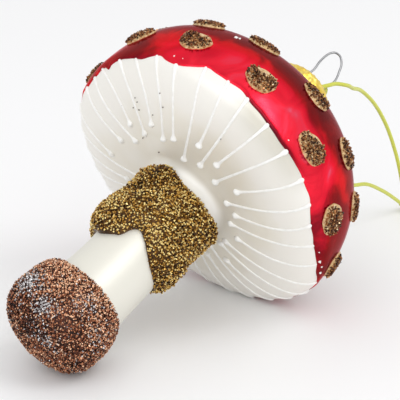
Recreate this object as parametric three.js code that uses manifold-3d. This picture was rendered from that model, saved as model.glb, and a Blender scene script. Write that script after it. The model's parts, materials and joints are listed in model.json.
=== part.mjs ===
// Blown glass toadstool ornament lying on its side, with its crown cap, wire hanger and cord loop.
// Millimetres, +Z up, the table at z = 0, +X along the way the crown points.

import * as THREE from 'three';
import { mergeVertices } from 'three/addons/utils/BufferGeometryUtils.js';
import Module from 'manifold-3d';

const wasm = await Module();
wasm.setup();

// Clearances and facets
const fitGap = 0.3;
const segments = 40;
const fineSegments = 24;
const tubeSides = 8;

// Glass wall, and the cap's dome above the rim plane
const wall = 1;
const rimRadius = 45.5;
const domeHeight = 38.4;
const domeFullness = 2.12;
const domeSteps = 11;

// Underside, a quarter of an oval from the rim in to the stem, and the height of the line where the red ends
const undersideDepth = 8.4;
const undersideFullness = 2.4;
const undersideSteps = 7;
const seamHeight = -1.5;
const seamSteps = 3;

// The fillet into the stem, and the stem down to the foot
const filletRadius = 3;
const filletSteps = 4;
const stemTopRadius = 12;
const stemWaistRadius = 11.3;
const stemFootRadius = 11.9;
const stemLength = 42;
const stemWaistAboveFoot = 8.5;

// Foot bulb
const footRadius = 14.4;
const footLength = 18.7;
const footWidestBelowTop = 8;
const footSteps = 8;

// Raised gill lines, long and short by turns, each ending in a drop
const gillCount = 36;
const gillRadius = 0.7;
const gillProud = 0.5;
const gillFromRim = 2.2;
const gillLongGap = 1;
const gillShortGap = 5.8;
const gillSweep = THREE.MathUtils.degToRad(4);
const gillDropRadius = 1.2;
const gillSides = 4;
const gillSteps = 4;

// Glitter skirt on the stem: its fall at degrees from the lowest side, and its bulk at shares of that fall
const skirtBelowFillet = 0.2;
const skirtFall = [
  [0, 24.4], [45, 25.4], [90, 24.4], [136, 24.6], [165, 26.8], [190, 25.9], [201, 24.6], [206, 22.2],
  [215, 20.8], [228, 21.8], [247, 24.2], [260, 25.5], [288, 26.3], [316, 26.2], [340, 24.9],
];
const skirtBulk = [
  [0, 0.5], [0.05, 1.6], [0.2, 1.8], [0.35, 2], [0.5, 2.7],
  [0.68, 3.6], [0.8, 3.6], [0.9, 2.9], [0.97, 1.6], [1, 0.5],
];

// Glitter coat on the foot
const crustThickness = 1.2;

// Lumps and dents on the crusts: radius, degrees, depth below the top of the stem or foot, reach and rise
const skirtLumps = [
  [15, 308, 2.6, 8, 1.6],
  [15, 190, 2.6, 6, 0.5],
  [15, 175, 9.6, 5, -0.5],
  [15, 235, 10.6, 6, 0.5],
  [15, 262, 16.6, 6, -0.6],
  [15, 20, 14.6, 8, 0.8],
  [15, 75, 8.6, 7, -0.6],
];
const footLumps = [
  [14, 165, 0.6, 6, 1.3],
  [15, 136, 9.6, 9, 0.9],
  [15, 140, 5.6, 4, -0.6],
  [15, 316, 11.6, 8, -0.6],
  [15, 75, 8.6, 7, 0.7],
  [7, 180, 18.6, 5, -0.9],
  [9, 260, 17.6, 6, 0.5],
];

// Glitter spots in two staggered rows round the dome: degrees from the lowest side, and height over the rim
const spotLength = 9.6;
const spotWidth = 8.2;
const spotThickness = 1.5;
const spotSides = 10;
const spotRows = {
  lower: [
    [8, 5.5], [38, 7], [68, 5.5], [98, 6], [129, 4.5], [159.5, 9.2],
    [188.5, 9.6], [217.5, 9.6], [247, 6.3], [274.5, 2.4], [305.5, 5], [337, 7],
  ],
  upper: [
    [23, 19], [53, 21], [84, 19], [114, 20.5], [145, 22], [175.5, 23.5],
    [203, 26.3], [237.5, 22.5], [264, 19.8], [289, 17.3], [320, 19], [352, 21],
  ],
};

// Neck, set a little off the cap's axis, and the metal crown cap over it
const neckRadius = 8.7;
const neckOffset = 2.5;
const neckHeadroom = 2;
const crownTurn = THREE.MathUtils.degToRad(-43);
const crownWall = 0.5;
const crownHeight = 9;
const crownFlare = 1.4;
const crownFlareHeight = 2.6;
const crownEdge = 1.4;

// Wire hanger: two legs through the crown cap, an arch above, spread ends inside
const wireRadius = 0.45;
const legSpacing = 6.8;
const hangerHeight = 17;
const legInside = 12;
const legSpread = 4.2;
const spreadDepth = 12;

// Cord: its bight round one leg, and the knot that closes the loop
const cordRadius = 0.65;
const bightTilt = THREE.MathUtils.degToRad(62);
const bightTail = 2;
const knotRadius = 2;
const knotTail = 8;

// Colours and finishes
const finish = {
  redLacquer: { color: 0xd3142a, roughness: 0.16, metalness: 0.1 },
  pearlLacquer: { color: 0xeeece6, roughness: 0.35, metalness: 0 },
  goldGlitter: { color: 0x9a7a38, roughness: 0.45, metalness: 0.6 },
  copperGlitter: { color: 0x8a5238, roughness: 0.45, metalness: 0.6 },
  brownGlitter: { color: 0x7a5a34, roughness: 0.5, metalness: 0.5 },
  goldMetal: { color: 0xe8c547, roughness: 0.28, metalness: 1 },
  wire: { color: 0xb4b4b4, roughness: 0.25, metalness: 1 },
  cord: { color: 0xcdd64e, roughness: 0.7, metalness: 0 },
};

// Shared vertices are merged, collapsed triangles dropped, and the faces made to point out
function closed(geometry) {
  geometry.deleteAttribute('normal');
  geometry.deleteAttribute('uv');
  const merged = mergeVertices(geometry, 1e-4);
  const position = merged.getAttribute('position');
  const corner = [new THREE.Vector3(), new THREE.Vector3(), new THREE.Vector3()];
  const kept = [];
  let volume = 0;
  for (let i = 0; i < merged.index.count; i += 3) {
    const triangle = [0, 1, 2].map((k) => merged.index.getX(i + k));
    if (new Set(triangle).size < 3) continue;
    triangle.forEach((vertex, k) => corner[k].fromBufferAttribute(position, vertex));
    volume += corner[0].dot(corner[1].clone().cross(corner[2]));
    kept.push(triangle);
  }
  if (volume < 0) kept.forEach((triangle) => triangle.reverse());
  merged.setIndex(kept.flat());
  return merged;
}

function solidOf(geometry) {
  const merged = closed(geometry);
  return new wasm.Manifold(new wasm.Mesh({
    numProp: 3,
    vertProperties: new Float32Array(merged.getAttribute('position').array),
    triVerts: new Uint32Array(merged.index.array),
  }));
}

function geometryOf(solid) {
  const mesh = solid.getMesh();
  const geometry = new THREE.BufferGeometry();
  geometry.setAttribute('position', new THREE.BufferAttribute(new Float32Array(mesh.vertProperties), 3));
  geometry.setIndex(new THREE.BufferAttribute(new Uint32Array(mesh.triVerts), 1));
  return geometry;
}

// A profile of (radius, height) points turned about +Z, with a flat facet towards +X
function turned(profile, count = segments) {
  return closed(new THREE.LatheGeometry(profile, count, Math.PI / count).rotateX(Math.PI / 2));
}

// The same on the same facets, for a profile that is a function of the angle from +X
function turnedUneven(profileAt) {
  const geometry = new THREE.LatheGeometry(profileAt(0), segments);
  const position = geometry.getAttribute('position');
  const points = position.count / (segments + 1);
  for (let i = 0; i <= segments; i += 1) {
    const angle = (2 * i + 1) * Math.PI / segments;
    profileAt(angle).forEach((point, k) => {
      position.setXYZ(i * points + k, point.x * Math.cos(angle), point.x * Math.sin(angle), point.y);
    });
  }
  return closed(geometry);
}

// The value at an angle of a list of [degrees, value], which closes on itself round the axis
function roundTheAxis(list, angle) {
  const degrees = THREE.MathUtils.euclideanModulo(THREE.MathUtils.radToDeg(angle), 360);
  const next = list.findIndex(([start]) => start > degrees);
  const [end, after] = next < 0 ? [list[0][0] + 360, list[0][1]] : list[next];
  const [start, before] = next < 0 ? list.at(-1) : list[next - 1];
  return THREE.MathUtils.mapLinear(degrees, start, end, before, after);
}

// How far lumps lift a profile point at an angle: the sum of rise times exp(-(gap / reach) squared)
function lift(point, angle, lumps, top) {
  const onAxis = (radius, turn, height) => new THREE.Vector3(
    radius * Math.cos(turn),
    radius * Math.sin(turn),
    height,
  );
  const place = onAxis(point.x, angle, point.y);
  return lumps.reduce((sum, [radius, degrees, depth, reach, rise]) => {
    const gap = place.distanceTo(onAxis(radius, THREE.MathUtils.degToRad(degrees), top - depth));
    return sum + rise * Math.exp(-((gap / reach) ** 2));
  }, 0);
}

// A line of profile points moved sideways, to the left of its run where distance is positive
function offsetLine(points, distance) {
  return points.map((point, i) => {
    const before = points[Math.max(i - 1, 0)];
    const after = points[Math.min(i + 1, points.length - 1)];
    const run = after.clone().sub(before).normalize();
    const moved = new THREE.Vector2(point.x - run.y * distance, point.y + run.x * distance);
    if (point.x === 0) moved.set(0, point.y + Math.sign(run.x) * distance);
    return moved;
  });
}

function tube(curve, radius, steps, sides = tubeSides) {
  const corners = Array.from({ length: sides }, (_, i) => {
    const angle = 2 * Math.PI * i / sides;
    return new THREE.Vector2(radius * Math.cos(angle), radius * Math.sin(angle));
  });
  const section = new THREE.Shape(corners);
  return closed(new THREE.ExtrudeGeometry(section, { steps, extrudePath: curve, bevelEnabled: false }));
}

function rod(radius, from, to, x = 0, y = 0) {
  const geometry = new THREE.CylinderGeometry(radius, radius, to - from, fineSegments);
  return geometry.rotateX(Math.PI / 2).translate(x, y, (from + to) / 2);
}

function piece(parent, name, geometry, look) {
  const mesh = new THREE.Mesh(geometry, new THREE.MeshStandardMaterial(look));
  mesh.name = name;
  parent.add(mesh);
  return mesh;
}

// The cap's outline: an oval underside below the rim plane and a full dome above it
const undersideWidth = rimRadius - stemTopRadius - filletRadius;
const undersidePoint = (angle) => new THREE.Vector2(
  rimRadius - undersideWidth * (1 - Math.cos(angle) ** (2 / undersideFullness)),
  -undersideDepth * Math.sin(angle) ** (2 / undersideFullness),
);
const domePoint = (angle) => new THREE.Vector2(
  rimRadius * Math.cos(angle) ** (2 / domeFullness),
  domeHeight * Math.sin(angle) ** (2 / domeFullness),
);
const undersideBetween = (from, to, steps) => Array.from(
  { length: steps + 1 },
  (_, i) => undersidePoint(from + (to - from) * i / steps),
);
const undersideAngle = (height) => Math.asin((-height / undersideDepth) ** (undersideFullness / 2));
const seamAngle = undersideAngle(seamHeight);
const gapAngle = undersideAngle(seamHeight - fitGap);
const undersideLine = undersideBetween(gapAngle, Math.PI / 2, undersideSteps);
undersideLine.at(-1).x = stemTopRadius + filletRadius;
const domeLine = Array.from({ length: domeSteps }, (_, i) => domePoint(Math.PI / 2 * (i + 1) / domeSteps));
domeLine.at(-1).x = 0;
const capLine = [...undersideBetween(seamAngle, 0, seamSteps), ...domeLine];

// The red cap: a glass bowl with an open neck
const toadstool = new THREE.Group();
const neckX = neckOffset * Math.cos(crownTurn);
const neckY = neckOffset * Math.sin(crownTurn);
const crownRadius = neckRadius + fitGap + crownWall;
const crownNearSide = (crownRadius - neckOffset) / rimRadius;
const crownBase = domePoint(Math.acos(crownNearSide ** (domeFullness / 2))).y + fitGap;
const crownTop = crownBase + crownHeight;
const neckTop = crownTop - crownWall - neckHeadroom;
const capInside = offsetLine(capLine, wall);
const capOuter = turned([new THREE.Vector2(0, seamHeight), ...capLine]);
const capInner = turned([
  new THREE.Vector2(0, seamHeight - wall),
  new THREE.Vector2(capInside[0].x, seamHeight - wall),
  ...capInside,
]);
const capShell = solidOf(capOuter)
  .add(solidOf(rod(neckRadius, domeHeight / 2, neckTop, neckX, neckY)))
  .subtract(solidOf(capInner))
  .subtract(solidOf(rod(neckRadius - wall, domeHeight / 2, neckTop + wall, neckX, neckY)));
piece(toadstool, 'cap_shell', geometryOf(capShell), finish.redLacquer);

// The white underside, stem and foot bulb in one run, from the seam to the foot's end
const filletTop = undersideLine.at(-1);
const filletLine = Array.from({ length: filletSteps }, (_, i) => {
  const angle = Math.PI / 2 * (i + 1) / filletSteps;
  return new THREE.Vector2(
    filletTop.x - filletRadius * Math.sin(angle),
    filletTop.y - filletRadius * (1 - Math.cos(angle)),
  );
});
const stemTopHeight = filletLine.at(-1).y;
const footTopHeight = stemTopHeight - stemLength;
const stemWaistHeight = footTopHeight + stemWaistAboveFoot;
const footUnder = footLength - footWidestBelowTop;
const footPoint = (radius, below) => new THREE.Vector2(radius, footTopHeight - below);
const footLine = new THREE.SplineCurve([
  footPoint(stemFootRadius, 0),
  footPoint(footRadius - (footRadius - stemFootRadius) * 0.35, footWidestBelowTop / 2),
  footPoint(footRadius, footWidestBelowTop),
  footPoint(footRadius * 0.86, footLength - footUnder * 0.35),
  footPoint(footRadius * 0.5, footLength - footUnder * 0.08),
  footPoint(0, footLength),
]).getSpacedPoints(footSteps);
footLine.at(-1).x = 0;
const stemLine = [
  ...undersideLine,
  ...filletLine,
  new THREE.Vector2(stemWaistRadius, stemWaistHeight),
  ...footLine,
];
const stemInside = offsetLine(stemLine, -wall);
stemInside[0].y = stemLine[0].y;
const stemShell = turned([...stemInside.toReversed(), ...stemLine]);

// Gill lines stand on the underside between the rim and the fillet
let stemSolid = solidOf(stemShell);
for (let i = 0; i < gillCount; i += 1) {
  const start = 2 * Math.PI * i / gillCount;
  const end = filletTop.x + (i % 2 ? gillShortGap : gillLongGap);
  const onUnderside = (share, sink) => {
    const radius = THREE.MathUtils.lerp(rimRadius - gillFromRim, end, share);
    const angle = Math.acos((1 - (rimRadius - radius) / undersideWidth) ** (undersideFullness / 2));
    const slope = undersidePoint(angle).sub(undersidePoint(angle - 0.01)).normalize();
    const point = undersidePoint(angle).addScaledVector(new THREE.Vector2(slope.y, -slope.x), sink);
    const turn = start + gillSweep * Math.sin(Math.PI * share / 2) ** 2;
    return new THREE.Vector3(point.x * Math.cos(turn), point.x * Math.sin(turn), point.y);
  };
  const places = Array.from(
    { length: gillSteps + 1 },
    (_, k) => onUnderside(k / gillSteps, gillRadius - gillProud),
  );
  const run = new THREE.CatmullRomCurve3(places);
  const drop = onUnderside(1, gillDropRadius - gillProud * 1.6);
  const ball = new THREE.OctahedronGeometry(gillDropRadius, 1).translate(drop.x, drop.y, drop.z);
  stemSolid = stemSolid.add(solidOf(tube(run, gillRadius, gillSteps, gillSides))).add(solidOf(ball));
}
piece(toadstool, 'stem_shell', geometryOf(stemSolid), finish.pearlLacquer);

// Glitter skirt round the upper stem, with a hem that rises and falls
const skirtTop = stemTopHeight - skirtBelowFillet;
const skirtPoint = (angle, share, bulk) => {
  const height = skirtTop - roundTheAxis(skirtFall, angle) * share;
  const stemRadius = THREE.MathUtils.mapLinear(
    height,
    stemTopHeight,
    stemWaistHeight,
    stemTopRadius,
    stemWaistRadius,
  );
  return new THREE.Vector2(stemRadius + fitGap + bulk, height);
};
const skirtProfile = (angle) => {
  const outside = skirtBulk.map(([share, bulk]) => {
    const point = skirtPoint(angle, share, bulk);
    point.x += lift(point, angle, skirtLumps, stemTopHeight);
    return point;
  });
  return [skirtPoint(angle, 1, 0), skirtPoint(angle, 0, 0), ...outside, skirtPoint(angle, 1, 0)];
};
piece(toadstool, 'skirt_glitter', turnedUneven(skirtProfile), finish.goldGlitter);

// Glitter coat over the foot bulb
const footInside = offsetLine(footLine, fitGap);
const footOutside = offsetLine(footLine, fitGap + crustThickness);
const footProfile = (angle) => {
  const outside = footOutside.map((point, i) => {
    const out = point.clone().sub(footInside[i]).normalize();
    return point.clone().addScaledVector(out, lift(point, angle, footLumps, footTopHeight));
  });
  return [...footInside.toReversed(), ...outside];
};
piece(toadstool, 'foot_glitter', turnedUneven(footProfile), finish.copperGlitter);

// Glitter spots: flat-backed pebbles set square to the dome
const pebbleOutline = [[0, 0], [0.94, 0], [1, 0.35], [0.86, 0.75], [0.5, 0.97], [0, 1]];
const pebbleLine = pebbleOutline.map(([x, y]) => new THREE.Vector2(x * spotLength / 2, y * spotThickness));
for (const [row, places] of Object.entries(spotRows)) {
  places.forEach(([degrees, height], i) => {
    const turn = THREE.MathUtils.degToRad(degrees);
    const angle = Math.asin((height / domeHeight) ** (domeFullness / 2));
    const place = domePoint(angle);
    const slope = domePoint(angle + 0.01).sub(domePoint(angle - 0.01));
    const lean = Math.atan2(slope.y, -slope.x);
    const spot = piece(
      toadstool,
      `spot_${row}_${String(i + 1).padStart(2, '0')}`,
      turned(pebbleLine, spotSides).scale(spotWidth / spotLength, 1, 1),
      finish.brownGlitter,
    );
    const outward = new THREE.Vector3(0, 0, 1).applyEuler(new THREE.Euler(0, lean, turn, 'ZYX'));
    spot.position.set(place.x * Math.cos(turn), place.x * Math.sin(turn), place.y);
    spot.position.addScaledVector(outward, fitGap);
    spot.rotation.set(0, lean, turn, 'ZYX');
  });
}

// Crown cap over the neck, with two holes for the hanger
const crown = new THREE.Group();
crown.position.set(neckX, neckY, 0);
crown.rotation.z = crownTurn;
toadstool.add(crown);
const crownLine = [
  new THREE.Vector2(crownRadius + crownFlare, crownBase),
  new THREE.Vector2(crownRadius + crownFlare * 0.2, crownBase + crownFlareHeight * 0.6),
  new THREE.Vector2(crownRadius, crownBase + crownFlareHeight),
  new THREE.Vector2(crownRadius, crownTop - crownEdge),
  new THREE.Vector2(crownRadius - crownEdge * 0.3, crownTop - crownEdge * 0.3),
  new THREE.Vector2(crownRadius - crownEdge, crownTop),
  new THREE.Vector2(0, crownTop),
];
const crownInside = offsetLine(crownLine, crownWall);
crownInside[0].y = crownBase;
const legX = legSpacing / 2;
let crownSolid = solidOf(turned([...crownInside.toReversed(), ...crownLine], fineSegments));
for (const side of [-1, 1]) {
  const hole = rod(wireRadius + fitGap, crownBase, crownTop + crownHeight, side * legX);
  crownSolid = crownSolid.subtract(solidOf(hole));
}
piece(crown, 'crown_cap', geometryOf(crownSolid), finish.goldMetal);

// Wire hanger: one length of wire, in a plane through the neck's axis
const archBase = crownTop + hangerHeight - legX;
const legEnd = crownTop - legInside;
const spreadX = legX + legSpread;
const handle = legX * 0.5523;
const at = (x, z) => new THREE.Vector3(x, 0, z);
const hangerPath = new THREE.CurvePath();
hangerPath.add(new THREE.LineCurve3(at(-spreadX, legEnd - spreadDepth), at(-legX, legEnd)));
hangerPath.add(new THREE.LineCurve3(at(-legX, legEnd), at(-legX, archBase)));
hangerPath.add(new THREE.CubicBezierCurve3(
  at(-legX, archBase),
  at(-legX, archBase + handle),
  at(-handle, archBase + legX),
  at(0, archBase + legX),
));
hangerPath.add(new THREE.CubicBezierCurve3(
  at(0, archBase + legX),
  at(handle, archBase + legX),
  at(legX, archBase + handle),
  at(legX, archBase),
));
hangerPath.add(new THREE.LineCurve3(at(legX, archBase), at(legX, legEnd)));
hangerPath.add(new THREE.LineCurve3(at(legX, legEnd), at(spreadX, legEnd - spreadDepth)));
piece(crown, 'wire_hanger', tube(hangerPath, wireRadius, 40), finish.wire);

// Lying angle: the axis rises towards the crown until the rim and the foot both touch the table
const lowest = (line, angle) => Math.min(...line.map(
  (point) => point.y * Math.sin(angle) - point.x * Math.cos(angle) * Math.cos(Math.PI / segments),
));
const capRim = [...capLine, ...undersideLine];
let flattest = 0;
let steepest = Math.PI / 3;
for (let i = 0; i < 50; i += 1) {
  const middle = (flattest + steepest) / 2;
  if (lowest(capRim, middle) < lowest(footOutside, middle)) flattest = middle;
  else steepest = middle;
}
toadstool.rotation.y = Math.PI / 2 - flattest;

const ornament = new THREE.Group();
ornament.add(toadstool);
ornament.updateMatrixWorld(true);
const box = new THREE.Box3().setFromObject(toadstool, true);
const middle = box.getCenter(new THREE.Vector3());
toadstool.position.set(-middle.x, -middle.y, -box.min.z);
ornament.updateMatrixWorld(true);

// Cord bight: a half turn round the lower leg, just above the crown cap
const bightHalfWidth = wireRadius + fitGap + cordRadius;
const bightDepth = bightHalfWidth / Math.cos(bightTilt);
const bightCentre = new THREE.Vector3(
  legX,
  0,
  crownTop + bightDepth * Math.sin(bightTilt) + cordRadius + fitGap,
);
const bightOut = new THREE.Vector3(Math.cos(bightTilt), 0, Math.sin(bightTilt));
const bightSide = new THREE.Vector3(0, -1, 0);
const bightPoint = (out, side) => crown.localToWorld(
  bightCentre.clone().addScaledVector(bightOut, out).addScaledVector(bightSide, side),
);
const bightTurn = Array.from({ length: 9 }, (_, i) => {
  const angle = Math.PI * i / 8;
  return bightPoint(-bightDepth * Math.sin(angle), bightHalfWidth * Math.cos(angle));
});
const bightPath = new THREE.CatmullRomCurve3([
  bightPoint(bightTail, bightHalfWidth),
  ...bightTurn,
  bightPoint(bightTail, -bightHalfWidth),
]);
piece(ornament, 'cord_bight', tube(bightPath, cordRadius, 14), finish.cord);

// The two strands fall from the bight to the knot on the table, through places chosen from the bight's centre
const hang = crown.localToWorld(bightCentre.clone());
const from = (x, y, z) => hang.clone().add(new THREE.Vector3(x, y, z));
const knotCentre = new THREE.Vector3(hang.x + 62.8, hang.y + 6.2, knotRadius + fitGap);
const knotSide = (x, y, z) => knotCentre.clone().addScaledVector(
  new THREE.Vector3(x, y, z).normalize(),
  knotRadius + fitGap,
);
const upperPath = new THREE.CatmullRomCurve3([
  bightPoint(bightTail + fitGap, bightHalfWidth),
  bightPoint(bightTail * 2, bightHalfWidth),
  from(6.4, -2.5, 1),
  from(11, -3.4, -0.2),
  from(18, -0.9, -3.1),
  from(26.6, 2.1, -6.2),
  from(35.9, 3.4, -12.6),
  from(44.4, 4.1, -21.9),
  from(52.1, 4.7, -34.2),
  knotSide(-0.5, 0, 1),
]);
const lowerPath = new THREE.CatmullRomCurve3([
  bightPoint(bightTail + fitGap, -bightHalfWidth),
  bightPoint(bightTail * 2, -bightHalfWidth),
  from(6.6, 1.8, -4),
  from(11, 2.2, -18.5),
  from(16.6, 2.2, -32.6),
  from(24, 3, -38.2),
  from(34.4, 3.8, -41),
  from(45.2, 4.7, -46.4),
  knotSide(-1, 0, 0.3),
]);
piece(ornament, 'cord_upper_strand', tube(upperPath, cordRadius, 34), finish.cord);
piece(ornament, 'cord_lower_strand', tube(lowerPath, cordRadius, 34), finish.cord);

// Knot with its two short ends
let knotSolid = solidOf(new THREE.SphereGeometry(knotRadius, 12, 8).translate(...knotCentre));
for (const side of [-1, 1]) {
  const end = new THREE.Vector3(knotTail, side * knotTail * 0.35, fitGap + cordRadius - knotCentre.z);
  const tail = new THREE.CatmullRomCurve3([
    knotCentre,
    knotCentre.clone().add(new THREE.Vector3(knotTail * 0.5, side * knotTail * 0.12, end.z * 0.7)),
    knotCentre.clone().add(end),
  ]);
  knotSolid = knotSolid.add(solidOf(tube(tail, cordRadius, 5)));
}
piece(ornament, 'cord_knot', geometryOf(knotSolid), finish.cord);

export default ornament;
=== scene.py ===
# %% [markdown]
# # A blown glass toadstool, lying on its side
# The ornament is one bubble of glass, lacquered red on the cap and pearl white below.
# Raised white paint draws the gills, glue and glitter make the spots, the skirt and the
# foot, and a gold metal crown holds a wire hanger with a loop of elastic cord.
# The solid model fixes every place. This script puts the finished surfaces on it.

# %% Load the solid model as a fixed frame
import json

import bpy
import numpy as np
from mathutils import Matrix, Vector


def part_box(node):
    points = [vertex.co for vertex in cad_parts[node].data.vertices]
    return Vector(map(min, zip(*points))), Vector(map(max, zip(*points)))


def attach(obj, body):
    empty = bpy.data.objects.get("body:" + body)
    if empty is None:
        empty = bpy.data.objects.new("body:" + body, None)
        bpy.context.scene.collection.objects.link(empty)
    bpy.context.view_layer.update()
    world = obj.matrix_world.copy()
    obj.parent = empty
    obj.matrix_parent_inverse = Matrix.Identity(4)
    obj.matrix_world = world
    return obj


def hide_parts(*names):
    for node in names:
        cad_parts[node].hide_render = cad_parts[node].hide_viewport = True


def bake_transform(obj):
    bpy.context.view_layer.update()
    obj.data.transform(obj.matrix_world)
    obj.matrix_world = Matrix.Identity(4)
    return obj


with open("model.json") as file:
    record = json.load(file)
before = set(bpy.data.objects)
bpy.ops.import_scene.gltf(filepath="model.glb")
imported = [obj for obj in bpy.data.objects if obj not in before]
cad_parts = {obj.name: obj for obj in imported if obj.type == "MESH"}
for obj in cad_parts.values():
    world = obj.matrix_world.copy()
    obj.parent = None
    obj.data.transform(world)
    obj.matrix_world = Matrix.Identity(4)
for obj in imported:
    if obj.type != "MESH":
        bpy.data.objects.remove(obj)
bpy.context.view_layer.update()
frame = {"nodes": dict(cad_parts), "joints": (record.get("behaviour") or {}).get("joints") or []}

# %% [markdown]
# ## The toadstool's own axes
# Everything on the ornament is round about one axis, which rises towards the crown.
# A turned shape is easiest to write as a radius, an angle and a height along that axis,
# so one function carries such places, in millimetres, into the frame, in metres.
# The crown's hinge already holds the axis, and the cap's rim lies a known way behind it.

# %% Axes and the functions that place a point
MM = 0.001
CROWN_TOP = 47.356
NECK_OFFSET = 2.5
CROWN_TURN = np.radians(-43)

hinge = next(j for j in frame["joints"] if j["name"] == "crown_turn")
AXIS = np.array(hinge["axis"])
DOWN = np.array([AXIS[2], 0.0, -AXIS[0]])
SIDE = np.array([0.0, 1.0, 0.0])
LEG = np.cos(CROWN_TURN) * DOWN + np.sin(CROWN_TURN) * SIDE
FACE = np.cos(CROWN_TURN) * SIDE - np.sin(CROWN_TURN) * DOWN
NECK = np.array(hinge["pos_m"]) / MM - CROWN_TOP * AXIS
RIM = NECK - NECK_OFFSET * LEG


def place(radius, angle, height):
    """A point on a turned shape: rim + radius (cos angle down + sin angle side) + height axis."""
    radius, angle, height = np.broadcast_arrays(radius, angle, height)
    across = np.cos(angle)[..., None] * DOWN + np.sin(angle)[..., None] * SIDE
    return (RIM + radius[..., None] * across + height[..., None] * AXIS) * MM


def on_crown(x, y, z):
    """A point in the crown's frame: neck + x towards the hanger's lower leg + y square to it + z axis."""
    x, y, z = np.broadcast_arrays(x, y, z)
    return (NECK + x[..., None] * LEG + y[..., None] * FACE + z[..., None] * AXIS) * MM


print("rim centre in mm", RIM.round(2), "axis", AXIS.round(4))

# %% [markdown]
# ## Camera
# The photograph was taken with a long lens, looking down at the foot.
# Its place is written as a pitch, a heading and a distance from the rim's centre,
# and the lens as a focal length on a 36 mm sensor for the square picture.
# A constraint could aim the camera too, but three directions and a place say all of it.

# %% Camera at the photograph's viewpoint
CAMERA_PITCH = np.radians(20.04)
CAMERA_HEADING = np.radians(47.77)
CAMERA_DISTANCE = 428.3
RIM_RIGHT_OF_CENTRE = 0.7
RIM_ABOVE_CENTRE = 6.5
LENS = 131.44
SENSOR = 36.0
NEAREST_SEEN = 10.0


def add_object(name, data):
    """Puts a camera, a lamp or a mesh into the scene as an object."""
    thing = bpy.data.objects.new(name, data)
    bpy.context.scene.collection.objects.link(thing)
    return thing


def pose(right, up, back, at):
    """A matrix with three directions and a place as its columns, listed one by one."""
    matrix = np.eye(4)
    matrix[:3] = np.stack([right, up, back, at], -1)
    return matrix.T.tolist()


ahead = np.array([np.sin(CAMERA_HEADING), np.cos(CAMERA_HEADING), 0.0])
right = np.array([np.cos(CAMERA_HEADING), -np.sin(CAMERA_HEADING), 0.0])
up = np.array([0.0, 0.0, 1.0])
look = np.cos(CAMERA_PITCH) * ahead - np.sin(CAMERA_PITCH) * up
camera_up = np.sin(CAMERA_PITCH) * ahead + np.cos(CAMERA_PITCH) * up
eye = RIM - CAMERA_DISTANCE * look - RIM_RIGHT_OF_CENTRE * right - RIM_ABOVE_CENTRE * camera_up

camera_data = bpy.data.cameras.new("camera")
camera_data.lens = LENS
camera_data.sensor_width = SENSOR
camera_data.sensor_fit = "HORIZONTAL"
camera_data.clip_start = NEAREST_SEEN * MM
camera = add_object("camera", camera_data)
camera.matrix_world = pose(right, camera_up, -look, eye * MM)
bpy.context.scene.camera = camera
print("camera in mm", eye.round(1))

# %% [markdown]
# ## Small helpers
# A material is a tree of nodes, so one function adds any node with its settings and links.
# A mesh is put together from arrays of points and faces. Primitives and modifiers could
# make simple pieces, but here every surface is a formula on a grid, and the same few
# functions close such a grid into a skin whose faces point outwards.

# %% Material helpers


def linear(code):
    """sRGB hex to linear colour: the standard curve, a straight foot and a 2.4 power."""
    value = np.array([int(code[i : i + 2], 16) for i in (1, 3, 5)]) / 255
    low = value / 12.92
    high = ((value + 0.055) / 1.055) ** 2.4
    return (*np.where(value <= 0.04045, low, high), 1.0)


def set_inputs(tree, node, inputs):
    """Gives a node's inputs their values, or links them where the value is another node's socket."""
    for socket, value in inputs.items():
        if isinstance(value, bpy.types.NodeSocket):
            tree.links.new(value, node.inputs[socket])
        else:
            node.inputs[socket].default_value = value


def add_node(tree, kind, inputs=None, stops=(), **settings):
    """Adds a node: settings are its properties, inputs its values and links, stops fill a colour ramp."""
    node = tree.nodes.new("ShaderNode" + kind)
    for name, value in settings.items():
        setattr(node, name, value)
    set_inputs(tree, node, inputs or {})
    for i, (position, code) in enumerate(stops):
        ramp = node.color_ramp.elements
        element = ramp[i] if i < len(ramp) else ramp.new(position)
        element.position = position
        element.color = linear(code)
    return node


def new_material(name, values):
    """A material, its tree, and the shader on its surface, which gets these values."""
    material = bpy.data.materials.new(name)
    material.use_nodes = True
    tree = material.node_tree
    tree.nodes.clear()
    shader = add_node(tree, "BsdfPrincipled", values)
    add_node(tree, "OutputMaterial", {"Surface": shader.outputs[0]})
    return material, tree, shader


print("mid grey in linear light", round(float(linear("#808080")[0]), 3))

# %% Mesh helpers
TAU = 2 * np.pi


def even_turn(count):
    """Even angles round a full turn, in radians."""
    return TAU * np.arange(count) / count


def new_piece(name, points, faces, materials, smooth=True, face_material=None, shade=None, uv=None):
    """A mesh object from arrays: points in metres, faces as corner numbers, shade and uv per point."""
    mesh = bpy.data.meshes.new(name)
    corners = [row for block in faces for row in block.tolist()]
    mesh.from_pydata(points.reshape(-1, 3), [], corners)
    count = len(mesh.polygons)
    mesh.polygons.foreach_set("use_smooth", np.broadcast_to(smooth, count).astype(bool))
    for material in materials:
        mesh.materials.append(material)
    if face_material is not None:
        mesh.polygons.foreach_set("material_index", face_material.astype(np.int32))
    if shade is not None:
        attribute = mesh.attributes.new("shade", "FLOAT", "POINT")
        attribute.data.foreach_set("value", shade.astype(np.float32))
    if uv is not None:
        corner_point = np.empty(len(mesh.loops), np.int32)
        mesh.loops.foreach_get("vertex_index", corner_point)
        layer = mesh.uv_layers.new(name="UVMap")
        layer.data.foreach_set("uv", uv.reshape(-1, 2)[corner_point].astype(np.float32).ravel())
    mesh.update()
    return add_object(name, mesh)


def grid_faces(rows, columns):
    """Corner numbers of the squares of a grid of points whose columns close round."""
    row = np.arange(rows - 1)[:, None]
    column = np.arange(columns)[None, :]
    following = (column + 1) % columns
    corners = [row * columns + column, row * columns + following]
    corners += [corners[1] + columns, corners[0] + columns]
    return np.stack(corners, -1).reshape(-1, 4)


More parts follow.
